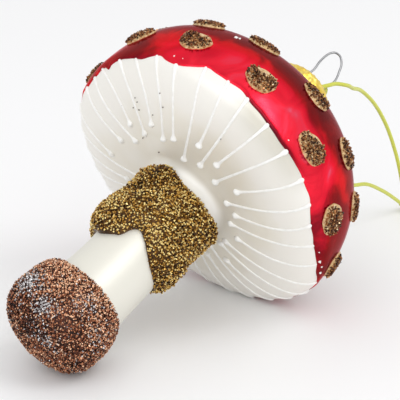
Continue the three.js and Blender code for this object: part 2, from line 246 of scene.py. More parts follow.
def fan_faces(centre, ring):
    """Triangles from one point to a closed ring of points."""
    return np.stack([np.full(len(ring), centre), ring, np.roll(ring, -1)], -1)


print("squares of a grid of 3 rings of 4 points", len(grid_faces(3, 4)))

# %% Closed skins from grids of points


def outward(points, faces):
    """Faces turned round where their volume is negative, the sum of a . (b x c) over their triangles."""
    volume = 0.0
    for block in faces:
        for k in range(1, block.shape[1] - 1):
            a, b, c = points[block[:, 0]], points[block[:, k]], points[block[:, k + 1]]
            volume += (a * np.cross(b, c)).sum()
    return faces if volume > 0 else [block[:, ::-1] for block in faces]


def capped_grid(grid):
    """A grid of rings made into a closed skin, with a point at the middle of its first and last ring."""
    rows, columns = grid.shape[:2]
    points = np.concatenate([grid.reshape(-1, 3), grid[0].mean(0)[None], grid[-1].mean(0)[None]])
    last = rows * columns
    faces = [
        grid_faces(rows, columns),
        fan_faces(last, np.arange(columns)[::-1]),
        fan_faces(last + 1, np.arange(last - columns, last)),
    ]
    return points, outward(points, faces)


def looped_grid(grid):
    """A grid of rings made into a closed skin, with its last ring joined to its first."""
    rows, columns = grid.shape[:2]
    points = grid.reshape(-1, 3)
    return points, outward(points, [grid_faces(rows + 1, columns) % len(points)])


def joined(parts):
    """Several sets of points, faces and one value per point as one, with the corner numbers carried on."""
    offsets = np.cumsum([0] + [len(points) for points, _, _ in parts])
    faces = [block + offset for offset, (_, blocks, _) in zip(offsets, parts) for block in blocks]
    return np.concatenate([p for p, _, _ in parts]), faces, np.concatenate([v for _, _, v in parts])


ring_of_four = np.stack([np.cos(even_turn(4)), np.sin(even_turn(4)), np.zeros(4)], -1)
box = np.stack([ring_of_four, ring_of_four + [0, 0, 1]])
print("faces of a capped box", sum(map(len, capped_grid(box)[1])))

# %% [markdown]
# ## The cord, first
# A thin elastic cord goes round the lower leg of the wire hanger, and its two strands fall
# to a knot on the table, just past the edge of the picture.
# A curve with a round bevel could draw it. Here its points are wanted as arrays, for its
# length and for the thread wound round it, so a smooth cubic through the solid model's
# points is cut into short rings, and a round section is carried along it.

# %% A smooth path, and a tube along it
SOME_DIRECTION = np.array([0.3, 0.2, 0.93])


def run_along(path):
    """The distance along a path from its first point to each of its points."""
    return np.concatenate([[0], np.cumsum(np.linalg.norm(np.diff(path, axis=0), axis=1))])


def cubic(t, reach, ends, slopes):
    """A cubic at shares t of its reach, with these values and slopes at its two ends (a Hermite curve)."""
    begin = (2 * t**3 - 3 * t**2 + 1) * ends[0] + (t**3 - 2 * t**2 + t) * reach * slopes[0]
    finish = (3 * t**2 - 2 * t**3) * ends[1] + (t**3 - t**2) * reach * slopes[1]
    return begin + finish


def smooth_path(points, spacing):
    """A path through the points in even steps: a cubic over each span, with slopes from its neighbours."""
    points = np.asarray(points, float)
    along = run_along(points)
    slope = np.gradient(points, along, axis=0)
    wanted = np.linspace(0, along[-1], int(along[-1] / spacing) + 1)
    span = np.clip(np.searchsorted(along, wanted, side="right") - 1, 0, len(along) - 2)
    reach = np.diff(along)[span][:, None]
    t = (wanted - along[span])[:, None] / reach
    return cubic(t, reach, (points[span], points[span + 1]), (slope[span], slope[span + 1]))


def path_frame(path):
    """Two directions square to the path at each point, turned as little as possible from one to the next."""
    ahead_of = np.gradient(path, axis=0)
    ahead_of /= np.linalg.norm(ahead_of, axis=1)[:, None]
    first = np.empty_like(path)
    guess = np.cross(ahead_of[0], SOME_DIRECTION)
    for i, direction in enumerate(ahead_of):
        guess = guess - (guess @ direction) * direction
        first[i] = guess = guess / np.linalg.norm(guess)
    return first, np.cross(ahead_of, first)


def tube(path, radius, sides):
    """A closed round skin: path + radius (cos first + sin second). Its uv is metres along, share round."""
    first, second = path_frame(path)
    angle = even_turn(sides)
    ring = np.cos(angle)[:, None] * first[:, None] + np.sin(angle)[:, None] * second[:, None]
    points, faces = capped_grid(path[:, None] + radius * ring)
    uv = np.stack(np.broadcast_arrays(run_along(path)[:, None], angle / TAU), -1).reshape(-1, 2)
    return points, faces, np.concatenate([uv, uv[:1], uv[-1:]])


print("a bent path of 20 mm in steps of 5 mm", len(smooth_path([(0, 0), (10, 0), (10, 10)], 5)), "points")

# %% Elastic cord
# Rubber core wound with dyed rayon thread: matt, with a diagonal lay and a pale edge.
# The lay is drawn coarser than the real thread, so that it shows.
THREAD_LAY = 0.9
LAYS_ROUND = 3
THREAD_RELIEF = 0.1

cord_yarn, tree, surface = new_material("rayon_wound_elastic", {"Roughness": 0.62, "Sheen Weight": 0.35})
where = add_node(tree, "UVMap", uv_map="UVMap")
lay_scale = (1 / (THREAD_LAY * MM), LAYS_ROUND, 1)
wound = add_node(tree, "Mapping", {"Vector": where.outputs[0], "Scale": lay_scale})
wave_inputs = {"Vector": wound.outputs[0], "Scale": 1.0, "Distortion": 0.6}
lay = add_node(tree, "TexWave", wave_inputs, bands_direction="DIAGONAL").outputs["Fac"]
dye = add_node(tree, "ValToRGB", {"Fac": lay}, stops=[(0.0, "#BBC035"), (1.0, "#DEE155")])
relief = add_node(tree, "Bump", {"Height": lay, "Strength": 0.4, "Distance": THREAD_RELIEF * MM})
set_inputs(tree, surface, {"Base Color": dye.outputs[0], "Normal": relief.outputs[0]})
print(cord_yarn.name, len(tree.nodes), "nodes")

# %% The routes of the two strands
CORD_RADIUS = 0.65
WIRE_RADIUS = 0.45
FIT_GAP = 0.3
LEG_X = 3.4
BIGHT_TILT = np.radians(62)
BIGHT_TAIL = 2.0
KNOT_RADIUS = 2.0

bight_half_width = WIRE_RADIUS + FIT_GAP + CORD_RADIUS
bight_depth = bight_half_width / np.cos(BIGHT_TILT)
bight_height = CROWN_TOP + bight_depth * np.sin(BIGHT_TILT) + CORD_RADIUS + FIT_GAP
hang = on_crown(LEG_X, 0.0, bight_height) / MM


def bight(out, side):
    """A point by the hanger's leg: out along the tilted plane of the bight, and to its side."""
    along_leg = LEG_X + out * np.cos(BIGHT_TILT)
    return on_crown(along_leg, -side, bight_height + out * np.sin(BIGHT_TILT)) / MM


quarter = np.linspace(0, np.pi / 2, 5)
knot_centre = hang + [62.8, 6.2, 0.0]
knot_centre[2] = KNOT_RADIUS + FIT_GAP
upper_route = [
    *[bight(-bight_depth * np.cos(a), bight_half_width * np.sin(a)) for a in quarter],
    bight(BIGHT_TAIL, bight_half_width),
    bight(BIGHT_TAIL * 2, bight_half_width),
    hang + [6.4, -2.5, 1],
    hang + [11, -3.4, -0.2],
    hang + [18, -0.9, -3.1],
    hang + [26.6, 2.1, -6.2],
    hang + [35.9, 3.4, -12.6],
    hang + [44.4, 4.1, -21.9],
    hang + [52.1, 4.7, -34.2],
    knot_centre + np.array([-0.5, 0, 1]) * KNOT_RADIUS,
]
lower_route = [
    *[bight(-bight_depth * np.cos(a), -bight_half_width * np.sin(a)) for a in quarter],
    bight(BIGHT_TAIL, -bight_half_width),
    bight(BIGHT_TAIL * 2, -bight_half_width),
    hang + [6.6, 1.8, -4],
    hang + [11, 2.2, -18.5],
    hang + [16.6, 2.2, -32.6],
    hang + [24, 3, -38.2],
    hang + [34.4, 3.8, -41],
    hang + [45.2, 4.7, -46.4],
    knot_centre + np.array([-1, 0, 0.3]) * KNOT_RADIUS,
]
print("the cord hangs at", hang.round(1), "and its knot lies at", knot_centre.round(1), "mm")

# %% The knot: turns of cord round the joined strands, and two short ends on the table
CORD_SPACING = 0.7
CORD_SIDES = 12
KNOT_TURNS = 2.5
KNOT_COIL = 1.35
KNOT_LENGTH = 3.4
KNOT_STEPS = 60
KNOT_TAIL = 8.0
TAIL_SPREAD = 2.8
TAIL_BOW = (0.5, 0.35, 0.7)

share = np.linspace(0, 1, KNOT_STEPS)
angle = TAU * KNOT_TURNS * share
coil = [KNOT_LENGTH * (share - 0.5), KNOT_COIL * np.cos(angle), KNOT_COIL * np.sin(angle)]
knot_path = knot_centre + np.stack(coil, -1)
knot_tubes = [tube(knot_path * MM, CORD_RADIUS * MM, CORD_SIDES)]
for side in (-1, 1):
    tail_end = np.array([KNOT_TAIL, side * TAIL_SPREAD, CORD_RADIUS + FIT_GAP - knot_centre[2]])
    tail_middle = tail_end * TAIL_BOW
    tail = smooth_path([knot_centre, knot_centre + tail_middle, knot_centre + tail_end], CORD_SPACING)
    knot_tubes.append(tube(tail * MM, CORD_RADIUS * MM, CORD_SIDES))
points, faces, uv = joined(knot_tubes)
knot = new_piece("cord_knot_turns", points, faces, [cord_yarn], uv=uv)
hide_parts("cord_knot")
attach(knot, "ornament")
print("knot faces", len(knot.data.polygons))

for name, route, nodes in (
    ("cord_upper", upper_route, ("cord_upper_strand", "cord_bight")),
    ("cord_lower", lower_route, ("cord_lower_strand",)),
):
    path = smooth_path(route, CORD_SPACING)
    points, faces, uv = tube(path * MM, CORD_RADIUS * MM, CORD_SIDES)
    strand = new_piece(name, points, faces, [cord_yarn], uv=uv)
    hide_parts(*nodes)
    length = run_along(path)[-1]
    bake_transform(strand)
    print(name, "length in mm", round(float(length), 1))

# %% [markdown]
# ## The blown glass
# The ornament is one thin bubble of glass: a full dome, a gently swollen underside, a stem
# and a foot bulb. It could be lathed with a Screw modifier, but every later piece has to sit
# on this surface, so the outline is kept as a curve of radius and height, and one function
# gives a point anywhere on it. Hand-blown glass is never quite round, so soft lumps are added.

# %% A turned surface, and soft lumps on it


def oval(angle, fullness):
    """A quarter of a full oval: cosine and sine, each raised to 2 / fullness."""
    return np.cos(angle) ** (2 / fullness), np.sin(angle) ** (2 / fullness)


def swell(points, marks):
    """Soft lumps: the sum of amount exp(-gap^2 / size^2) over marks, with the gap and the size in mm.

    A mark is a radius, degrees, a height, a size and an amount.
    """
    total = np.zeros(points.shape[:-1])
    for radius, degrees, height, size, amount in marks:
        gap = (points - place(radius, np.radians(degrees), height)) / MM
        total += amount * np.exp(-(gap**2).sum(-1) / size**2)
    return total


def turned_surface(outline, marks=(), placed=place, zero=0.0):
    """A function of angle, run along the outline and mm proud: the turned point plus proud times normal."""
    outline = np.asarray(outline, float)
    run = run_along(outline) - zero
    slope = np.gradient(outline, run, axis=0)
    slope /= np.linalg.norm(slope, axis=1)[:, None]
    columns = (outline[:, 0], outline[:, 1], -slope[:, 1], slope[:, 0])

    def surface(angle, along, proud=0.0):
        radius, height, out, rise = (np.interp(along, run, column) for column in columns)
        base = placed(radius, angle, height)
        normal = placed(radius + out, angle, height + rise) - base
        return base + normal * (proud + swell(base, marks))[..., None]

    return surface, run


lump_top = swell(place(10, 0, 0), [(10, 0, 0, 5, 2)])
print("a lump of 2 mm is", round(float(lump_top), 2), "mm high at its middle")

# %% Outline of the glass
RIM_RADIUS = 45.5
DOME_HEIGHT = 38.4
DOME_FULLNESS = 2.12
UNDERSIDE_DEPTH = 8.4
UNDERSIDE_FULLNESS = 2.4
STEM_TOP_RADIUS = 12.0
FILLET_RADIUS = 3.0
STEM_AND_FOOT = [
    (12.0, 0.0),
    (11.5, -17.0),
    (11.3, -33.5),
    (11.9, -42.0),
    (12.7, -46.0),
    (13.0, -50.0),
    (11.4, -57.0),
    (6.8, -59.6),
    (0.0, -60.5),
]
GLASS_SWELLS = [
    (45, 140, 3, 16, -1.6),
    (36, 168, 25, 14, 0.4),
    (45, 288, 0, 20, -0.3),
    (11.3, 316, -42, 14, 0.9),
    (11.3, 136, -42, 14, -0.9),
]
STEM_SPACING = 0.5
ARC_STEPS = 120

quarter_turn = np.linspace(0, np.pi / 2, ARC_STEPS)
wide, tall = oval(quarter_turn, DOME_FULLNESS)
dome = np.stack([RIM_RADIUS * wide, DOME_HEIGHT * tall], -1)[::-1]
wide, tall = oval(quarter_turn, UNDERSIDE_FULLNESS)
underside_width = RIM_RADIUS - STEM_TOP_RADIUS - FILLET_RADIUS
underside = np.stack([RIM_RADIUS - underside_width * (1 - wide), -UNDERSIDE_DEPTH * tall], -1)
fillet = underside[-1] - FILLET_RADIUS * np.stack([np.sin(quarter_turn), 1 - np.cos(quarter_turn)], -1)
stem = smooth_path(np.array(STEM_AND_FOOT) + [0, fillet[-1, 1]], STEM_SPACING)
outline = np.concatenate([dome, underside[1:], fillet[1:], stem[1:]])
on_glass, glass_run = turned_surface(outline, GLASS_SWELLS, zero=run_along(dome)[-1])


def run_at_height(height):
    """Distance along the glass from the rim, down the stem positive, at a height along the axis."""
    return np.interp(-np.asarray(height, float), -outline[:, 1], glass_run)


def run_at_radius(radius):
    """Distance along the underside from the rim to a radius between the stem and the rim."""
    underside_run = glass_run[len(dome) - 1 :][: len(underside)]
    return np.interp(-np.asarray(radius, float), -underside[:, 0], underside_run)


def glass_radius(along):
    """The glass's radius at a distance along it from the rim."""
    return np.interp(along, glass_run, outline[:, 0])


print("the glass runs from", glass_run[0].round(1), "to", glass_run[-1].round(1), "mm along its outline")

# %% [markdown]
# ## Pearl white
# The glass is silvered and sprayed with a pearl white lacquer. Its tone holds painted light: a
# painted highlight on the ring round the stem's top, painted shade just outside it and down the
# stem, and painted shade on one side of the rim. A picture could be painted for it, but the tone
# changes along the axis above all, so the height picks it from a row of tones, and soft clouds keep
# the change from looking drawn.

# %% Pearl white lacquer
# Silvered glass under a pearl lacquer: a satin white with a soft, wide shine. The row of tones
# paints a highlight on the ring round the stem's top, and shade just outside it and down the stem;
# a warm grey multiplied in paints shade on one side of the rim. Heights and the clouds' drift are in mm.
PEARL_MOTTLE = 14.0
PEARL_DRIFT = 3.0
PEARL_LOWEST = -62.0
PEARL_HIGHEST = 6.0

pearl, tree, surface = new_material("pearl_lacquer_and_painted_light", {"Metallic": 0.25, "Roughness": 0.42})
where = add_node(tree, "TexCoord").outputs["Object"]
from_rim = add_node(tree, "VectorMath", {0: where, 1: RIM * MM}, operation="SUBTRACT").outputs[0]
height = add_node(tree, "VectorMath", {0: from_rim, 1: AXIS / MM}, operation="DOT_PRODUCT").outputs["Value"]
clouds = add_node(tree, "TexNoise", {"Vector": where, "Scale": 1 / (PEARL_MOTTLE * MM), "Detail": 2.0})
drift_inputs = {0: clouds.outputs["Fac"], 1: PEARL_DRIFT, 2: height}
drift = add_node(tree, "Math", drift_inputs, operation="MULTIPLY_ADD").outputs[0]
row_place = add_node(tree, "MapRange", {"Value": drift, "From Min": PEARL_LOWEST, "From Max": PEARL_HIGHEST})
# Painted light in the tones: 0.765 is a painted highlight on the ring round the stem's top, 0.812 painted
# shade just outside it, and the low tones painted shade down the stem.
pearl_tone_and_painted_light = add_node(
    tree,
    "ValToRGB",
    {"Fac": row_place.outputs[0]},
    stops=[
        (0.0, "#E4E2D8"),
        (0.72, "#E6E4DA"),
        (0.765, "#FAF9F5"),
        (0.79, "#F6F4EE"),
        (0.812, "#EAE5D8"),
        (0.83, "#F0EDE6"),
        (0.92, "#F3F1EB"),
        (1.0, "#F4F3EE"),
    ],
)
# Painted shade on one side of the rim: the shade attribute multiplies the tone by a warm grey.
painted_shade_fac = add_node(tree, "Attribute", attribute_name="shade").outputs["Fac"]
painted_shade_inputs = {0: painted_shade_fac, 6: pearl_tone_and_painted_light.outputs[0], 7: linear("#DAD8D0")}
painted_shade_mix = add_node(tree, "Mix", painted_shade_inputs, data_type="RGBA", blend_type="MULTIPLY")
set_inputs(tree, surface, {"Base Color": painted_shade_mix.outputs[2]})
print(pearl.name, len(tree.nodes), "nodes")

# %% The white glass, from the crown to the foot, with more rows where it bends round the rim
# Distances are in mm along the glass. A point closes the small holes at both ends.
GLASS_COLUMNS = 200
RIM_BAND = (-6.5, 9.0)
BAND_GAP = 0.5
CROWN_HOLE = 0.5
FOOT_HOLE = 0.3
RIM_ROWS = 44
DOME_ROWS = 36
STEM_ROWS = 120
# Painted shade on one side of the rim, as soft marks: radius, degrees, height, size and amount.
RIM_PAINTED_SHADE = [
    (45.5, 223, 0, 5, 0.8),
    (45.5, 231, -0.5, 5.5, 0.8),
    (45.5, 240, -1, 5.5, 0.8),
    (45, 249, -1.5, 5, 0.6),
]

along = np.concatenate(
    [
        np.linspace(glass_run[0] + CROWN_HOLE, RIM_BAND[0] - BAND_GAP, DOME_ROWS),
        np.linspace(*RIM_BAND, RIM_ROWS),
        np.linspace(RIM_BAND[1] + BAND_GAP, glass_run[-1] - FOOT_HOLE, STEM_ROWS),
    ]
)
points, faces = capped_grid(on_glass(even_turn(GLASS_COLUMNS)[None, :], along[:, None]))
rim_painted_shade = np.clip(swell(points, RIM_PAINTED_SHADE), 0, 1)
white_glass = new_piece("white_glass", points, faces, [pearl], shade=rim_painted_shade)
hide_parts("stem_shell")
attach(white_glass, "ornament")
print("white glass faces", len(white_glass.data.polygons))

# %% [markdown]
# ## The red coat
# The cap is dipped and brushed with a clear red lacquer that ends in an uneven line round
# the rim, with a few drips. A painted line in the material would be flat, so the coat is a
# thin closed skin of its own: it stands a fifth of a millimetre proud, and swells to a bead
# where the lacquer gathered at its edge.

# %% Where the red ends: degrees round the rim, and height
RED_EDGE = [
    (15, -2.4), (45, -3.0), (75, -2.3), (98, -1.4), (119, -1.7), (132, -3.7), (143, -3.8),
    (152, -3.7), (154.5, -4.3), (157, -3.6), (164.5, -2.9), (170.5, -2.8), (176, -2.5),
    (179.5, -1.6), (183, -0.7), (186, -1.4), (189, -1.7), (192, -1.4), (196, -0.4),
    (198.5, 0.6), (200.5, 1.8), (205.5, 1.9), (209, 1.9), (216, 1.9), (221, 0.9), (226, 0.3),
    (233, -0.8), (242.5, -1.2), (252, -1.8), (258.5, -2.4), (267.5, -3.8), (275, -4.3), (291, -4.0),
    (299.5, -3.4), (309.5, -1.7), (315.5, -0.6), (330, -1.4), (350, -2.8),
]


def round_the_axis(marks, angle):
    """A closed curve through marks of (degrees, value), at angles in radians: a cubic between neighbours."""
    degrees, value = np.array(marks, float).T
    degrees = np.concatenate([degrees - 360, degrees, degrees + 360])
    value = np.tile(value, 3)
    slope = np.gradient(value, degrees)
    wanted = np.degrees(angle) % 360
    span = np.searchsorted(degrees, wanted, side="right") - 1
    reach = degrees[span + 1] - degrees[span]
    t = (wanted - degrees[span]) / reach
    return cubic(t, reach, (value[span], value[span + 1]), (slope[span], slope[span + 1]))


print("the red ends", round_the_axis(RED_EDGE, np.pi).round(1), "mm up at the rim's top")

# %% Red lacquer
# Clear red lacquer over silvered glass, from a painted pink highlight through scarlet to deep
# crimson. The value that picks the tone holds painted reflections and painted shade, and brushed
# clouds of random tone break it up.
RED_CLOUD = 13.0
CLOUD_SHARE = 1.4
PALEST = -0.05
DARKEST = 1.35
BRUSHED_RELIEF = 1.0

red, tree, surface = new_material(
    "red_lacquer_and_painted_light",
    {
        "Metallic": 0.9,
        "Roughness": 0.26,
        "Specular Tint": linear("#E06070"),
        "Coat Weight": 0.1,
        "Coat Roughness": 0.03,
    },
)
where = add_node(tree, "TexCoord").outputs["Object"]
cloud_inputs = {"Vector": where, "Scale": 1 / (RED_CLOUD * MM), "Detail": 3.0, "Distortion": 1.2}
clouds = add_node(tree, "TexNoise", cloud_inputs).outputs["Fac"]
# The shade attribute carries painted light: painted reflections make it paler, painted shade darker.
painted_light = add_node(tree, "Attribute", attribute_name="shade").outputs["Fac"]
tone_and_painted_light = add_node(tree, "Math", {0: clouds, 1: CLOUD_SHARE, 2: painted_light}, operation="MULTIPLY_ADD").outputs[0]
row_place = add_node(tree, "MapRange", {"Value": tone_and_painted_light, "From Min": PALEST, "From Max": DARKEST})
lacquer = add_node(
    tree,
    "ValToRGB",
    {"Fac": row_place.outputs[0]},
    stops=[
        (0.0, "#F0607A"),
        (0.1, "#FA3E56"),
        (0.2, "#FF2A40"),
        (0.45, "#E01E34"),
        (0.56, "#B8182A"),
        (0.68, "#8C1222"),
        (1.0, "#5C0E1C"),
    ],
)
brushed = add_node(tree, "Bump", {"Height": clouds, "Strength": 0.25, "Distance": BRUSHED_RELIEF * MM})
set_inputs(tree, surface, {"Base Color": lacquer.outputs[0], "Normal": brushed.outputs[0]})
print(red.name, len(tree.nodes), "nodes")

# %% Painted light on the red: a painted reflection on one side, painted shade towards the crown, painted reflections in patches, and a dark strip at the edge
# Amounts are shares, the crown's span is in heights and the bright side's in shares of the radius.
# Painted reflection: the red is paler on one side of the cap.
BRIGHT_SIDE = np.radians(224)
BRIGHT_SIDE_SPAN = (0.55, 0.94)
BRIGHT_SIDE_AMOUNT = 0.42
# Painted shade: the red darkens towards the crown.
CROWN_SHADE_SPAN = (8.0, 25.0)
CROWN_SHADE_AMOUNT = 0.85
# A dark strip along the red's edge on one side.
DARK_EDGE_AT = np.radians(231)
DARK_EDGE_SPREAD = np.radians(14)
DARK_EDGE_WIDTH = 1.2
DARK_EDGE_AMOUNT = 1.3
# Painted reflections in patches: paler red and pink where the amount is negative, darker where it is
# positive.
PAINTED_REFLECTIONS = [
    (42, 207, 13, 6, -0.22),
    (44, 237, 8, 5, -0.1),
    (44, 261, 8, 5, -0.3),
    (45, 178, 8, 5, -0.3),
    (39, 228, 21, 8, 0.2),
    (43, 242, 15, 6, 0.45),
    (43, 256, 13, 5, 0.4),
    (45, 269, 5, 5, 0.3),
    (45, 294, 0, 10, 0.45),
    (45, 283, 5, 6, 0.2),
    (45, 162, 0, 12, 0.3),
    (39, 197, 22, 5, 0.2),
    (45, 30, 4, 14, 0.3),
    (44, 80, 10, 10, -0.3),
    (36, 120, 24, 10, 0.2),
]


def smooth_step(value, low, high):
    """0 below low, 1 above high, and 3 t^2 - 2 t^3 between."""
    t = np.clip((value - low) / (high - low), 0, 1)
    return 3 * t**2 - 2 * t**3


def painted_light_on_red(angle, along, back):
    """Painted light as a share, higher where darker: painted shade towards the crown minus a painted
    reflection on one side, plus painted reflections in patches and a dark strip at the edge.
    """
    radius, height = (np.interp(along, glass_run, column) for column in outline.T)
    crown_shade = CROWN_SHADE_AMOUNT * smooth_step(height, *CROWN_SHADE_SPAN)
    towards_bright = radius * np.cos(angle - BRIGHT_SIDE) / RIM_RADIUS
    bright_side = BRIGHT_SIDE_AMOUNT * smooth_step(towards_bright, *BRIGHT_SIDE_SPAN)
    off_edge = (back / DARK_EDGE_WIDTH) ** 2 + ((angle - DARK_EDGE_AT) / DARK_EDGE_SPREAD) ** 2
    dark_edge = DARK_EDGE_AMOUNT * np.exp(-off_edge)
    return crown_shade - bright_side + dark_edge + swell(place(radius, angle, height), PAINTED_REFLECTIONS)


print("thickness at the crown", painted_light_on_red(0.0, glass_run[0], np.inf).round(2))

# %% The coat as a thin closed skin
COAT = 0.2
COAT_ROUNDING = 0.2
COAT_BEAD = 0.14
BEAD_BACK = 0.6
BEAD_WIDTH = 0.45
COAT_UNDER = 0.15
COAT_COLUMNS = 600
COAT_ROWS = 49
COAT_HOLE = 0.4
EDGE_RIPPLES = [(0.1, 23, 0), (0.07, 41, 1)]
NEAR_EDGE = np.array([0.0, 0.05, 0.12, 0.22, 0.36, 0.55, 0.8, 1.1, 1.5, 2.0])
UNDER_ROWS = [0, 30, -1]
# Painted shade at the two middle points that close the coat.
CROWN_PAINTED_SHADE = 1.1

angle = even_turn(COAT_COLUMNS)
ripple = sum(size * np.sin(count * angle + start) for size, count, start in EDGE_RIPPLES)
edge = run_at_height(round_the_axis(RED_EDGE, angle)) + ripple
far = np.linspace(0, 1, COAT_ROWS + 1)[1:, None]
near_rows = edge - NEAR_EDGE[:, None]
far_rows = (1 - far) * near_rows[-1] + far * (glass_run[0] + COAT_HOLE)
outer = np.concatenate([near_rows, far_rows])
back = edge - outer
bead = COAT_BEAD * np.exp(-(((back - BEAD_BACK) / BEAD_WIDTH) ** 2)) * (back > 0)
proud = COAT * np.sqrt(1 - np.exp(-back / COAT_ROUNDING)) + bead
skin = on_glass(angle[None, :], outer, proud)
under = on_glass(angle[None, :], outer[UNDER_ROWS], -COAT_UNDER)
points, faces = capped_grid(np.concatenate([skin[::-1], under]))
painted_light_outer = painted_light_on_red(angle[None, :], outer, back)
painted_light_rows = np.concatenate([painted_light_outer[::-1], painted_light_outer[UNDER_ROWS]])
painted_light_per_point = np.concatenate([painted_light_rows.ravel(), [CROWN_PAINTED_SHADE, CROWN_PAINTED_SHADE]])
red_coat = new_piece("red_coat", points, faces, [red], shade=painted_light_per_point)
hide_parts("cap_shell")
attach(red_coat, "ornament")
print("red coat faces", len(red_coat.data.polygons))

# %% [markdown]
# ## The gills
# The gills are drawn by hand with thick white paint from a nozzle: a blob at the rim, a thin
# line across the underside and a round drop where the nozzle lifted, long and short by turns.
# A bump in the material could hint at them, but they stand up enough to catch the light, so
# each line is a half-round section carried along the glass. The places of those in view are
# given one by one, and the rest go on round the back in the same rhythm.

# %% Gill lines: start, middle and end in degrees, and the end's radius
GILLS_IN_VIEW = [
    (115, 111, 106, 27), (131, 128, 128.5, 23.6), (141, 140, 144.5, 20.1), (149, 154, 151, 25.1),
    (163, 166, 160.5, 21.3), (172.5, 176.5, 173, 24.7), (181.5, 185.5, 179.5, 20.1),
    (191, 193, 191, 21.7), (200.5, 204, 200, 15.4), (210, 212.5, 211.5, 25.1),
    (219, 220, 218, 17.8), (230, 229, 227.5, 23.6), (241, 239, 237.5, 17), (252.5, 252, 250, 22.8),
    (262.5, 264.5, 261.5, 16), (271.5, 276.5, 275, 17.6), (282.5, 288, 291, 15.4),
    (294, 302.5, 306, 18.6), (308.5, 316.5, 325, 16.6),
]
GILLS_BEHIND = 15
BEHIND_SPAN = (320, 465)
BEHIND_LEAN = (7, -4)
LONG_GILL_END = 16.5
SHORT_GILL_END = 22.5
GILL_STEPS = 70
OVER_THE_RED = 0.5


def through_three(start, middle, end, s):
    """The parabola that has three values at s = 0, a half and 1."""
    return start * (2 * s - 1) * (s - 1) + middle * 4 * s * (1 - s) + end * s * (2 * s - 1)


draw = np.random.default_rng(7)
behind_start = np.linspace(*BEHIND_SPAN, GILLS_BEHIND)
lean = np.linspace(*BEHIND_LEAN, GILLS_BEHIND)
behind_end = np.where(np.arange(GILLS_BEHIND) % 2, SHORT_GILL_END, LONG_GILL_END)
behind_end = behind_end + draw.uniform(-1, 1, GILLS_BEHIND)
behind = np.stack([behind_start, behind_start + lean, behind_start + 2 * lean, behind_end], -1)
gills = np.concatenate([GILLS_IN_VIEW, behind])
start, middle, end = np.radians(gills[:, :3]).T[..., None]
first = (run_at_height(round_the_axis(RED_EDGE, start[:, 0])) - OVER_THE_RED)[:, None]
length = run_at_radius(gills[:, 3])[:, None] - first
s = np.linspace(0, 1, GILL_STEPS)[None, :]
gill_along = first + length * s
gill_angle = through_three(start, middle, end, s)
print("gill lines", len(gills), "the longest", length.max().round(1), "mm")

# %% Their half-round section: thinner in the middle, with a blob and a drop at the ends
# Sizes are in mm, but waist, rise and sunk part are shares of the half width.
GILL_HALF_WIDTH = 0.48
GILL_WAIST = 0.22
GILL_BLOB = 0.42
BLOB_SHARES = (0.25, 1.0)
BLOB_AT = 0.9
BLOB_REACH = 1.2
GILL_DROP = 0.7
DROP_AT = 1.1
DROP_REACH = 1.1
START_ROUNDING = 0.7
END_ROUNDING = 1.1
THINNEST_END = 0.001
GILL_RISE = 0.8
GILL_SUNK = 0.5
GILL_SECTION = 10

blob = draw.uniform(*BLOB_SHARES, len(gills))[:, None]
from_start = length * s
from_end = length * (1 - s)
half_width = (
    GILL_HALF_WIDTH * (1 - GILL_WAIST * np.sin(np.pi * s))
    + GILL_BLOB * blob * np.exp(-(((from_start - BLOB_AT) / BLOB_REACH) ** 2))
    + GILL_DROP * np.exp(-(((from_end - DROP_AT) / DROP_REACH) ** 2))
)
at_start = np.clip(from_start / START_ROUNDING, THINNEST_END, 1)
at_end = np.clip(from_end / END_ROUNDING, THINNEST_END, 1)
half_width = (half_width * np.sqrt(at_start * at_end))[..., None]
around = even_turn(GILL_SECTION)
sideways = half_width * np.cos(around)
rise = GILL_RISE * half_width * np.sin(around)
rise = np.where(rise < 0, GILL_SUNK * rise, rise)
turned = gill_angle[..., None] + sideways / glass_radius(gill_along)[..., None]
gill_points = on_glass(turned, gill_along[..., None], rise)
print("gill width in mm", (2 * half_width).max().round(2), "at most")

# %% Thick white relief paint
# Dimensional paint squeezed from a nozzle: brighter and glossier than the pearl beneath it.
PAINT_LUMP = 1.5
PAINT_RELIEF = 0.3

relief_paint, tree, surface = new_material(
    "white_relief_paint",
    {"Roughness": 0.3, "Specular IOR Level": 0.5, "Coat Weight": 0.2, "Coat Roughness": 0.1},
)
where = add_node(tree, "TexCoord").outputs["Object"]
lumps = add_node(tree, "TexNoise", {"Vector": where, "Scale": 1 / (PAINT_LUMP * MM)}).outputs["Fac"]
chalk = add_node(tree, "ValToRGB", {"Fac": lumps}, stops=[(0.3, "#F1F0EC"), (0.7, "#FBFBF9")])
uneven = add_node(tree, "Bump", {"Height": lumps, "Strength": 0.15, "Distance": PAINT_RELIEF * MM})
set_inputs(tree, surface, {"Base Color": chalk.outputs[0], "Normal": uneven.outputs[0]})
print(relief_paint.name, len(tree.nodes), "nodes")

# %% The gill lines as one piece
skins = [capped_grid(line) for line in gill_points]
points, faces, _ = joined([(points, faces, np.zeros(len(points))) for points, faces in skins])
gill_lines = new_piece("gill_lines", points, faces, [relief_paint])
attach(gill_lines, "ornament")
print("gill faces", len(gill_lines.data.polygons))

# %% [markdown]
# ## Glitter
# Spots, skirt and foot are glue strewn with coarse glitter. Painting grains in a material
# would leave the outline smooth, so thousands of small eight-sided crystals are strewn over
# a rough crust. Each one has its own turn and its own shade, a number that the material
# turns into a colour, and flat facets catch the light one by one.

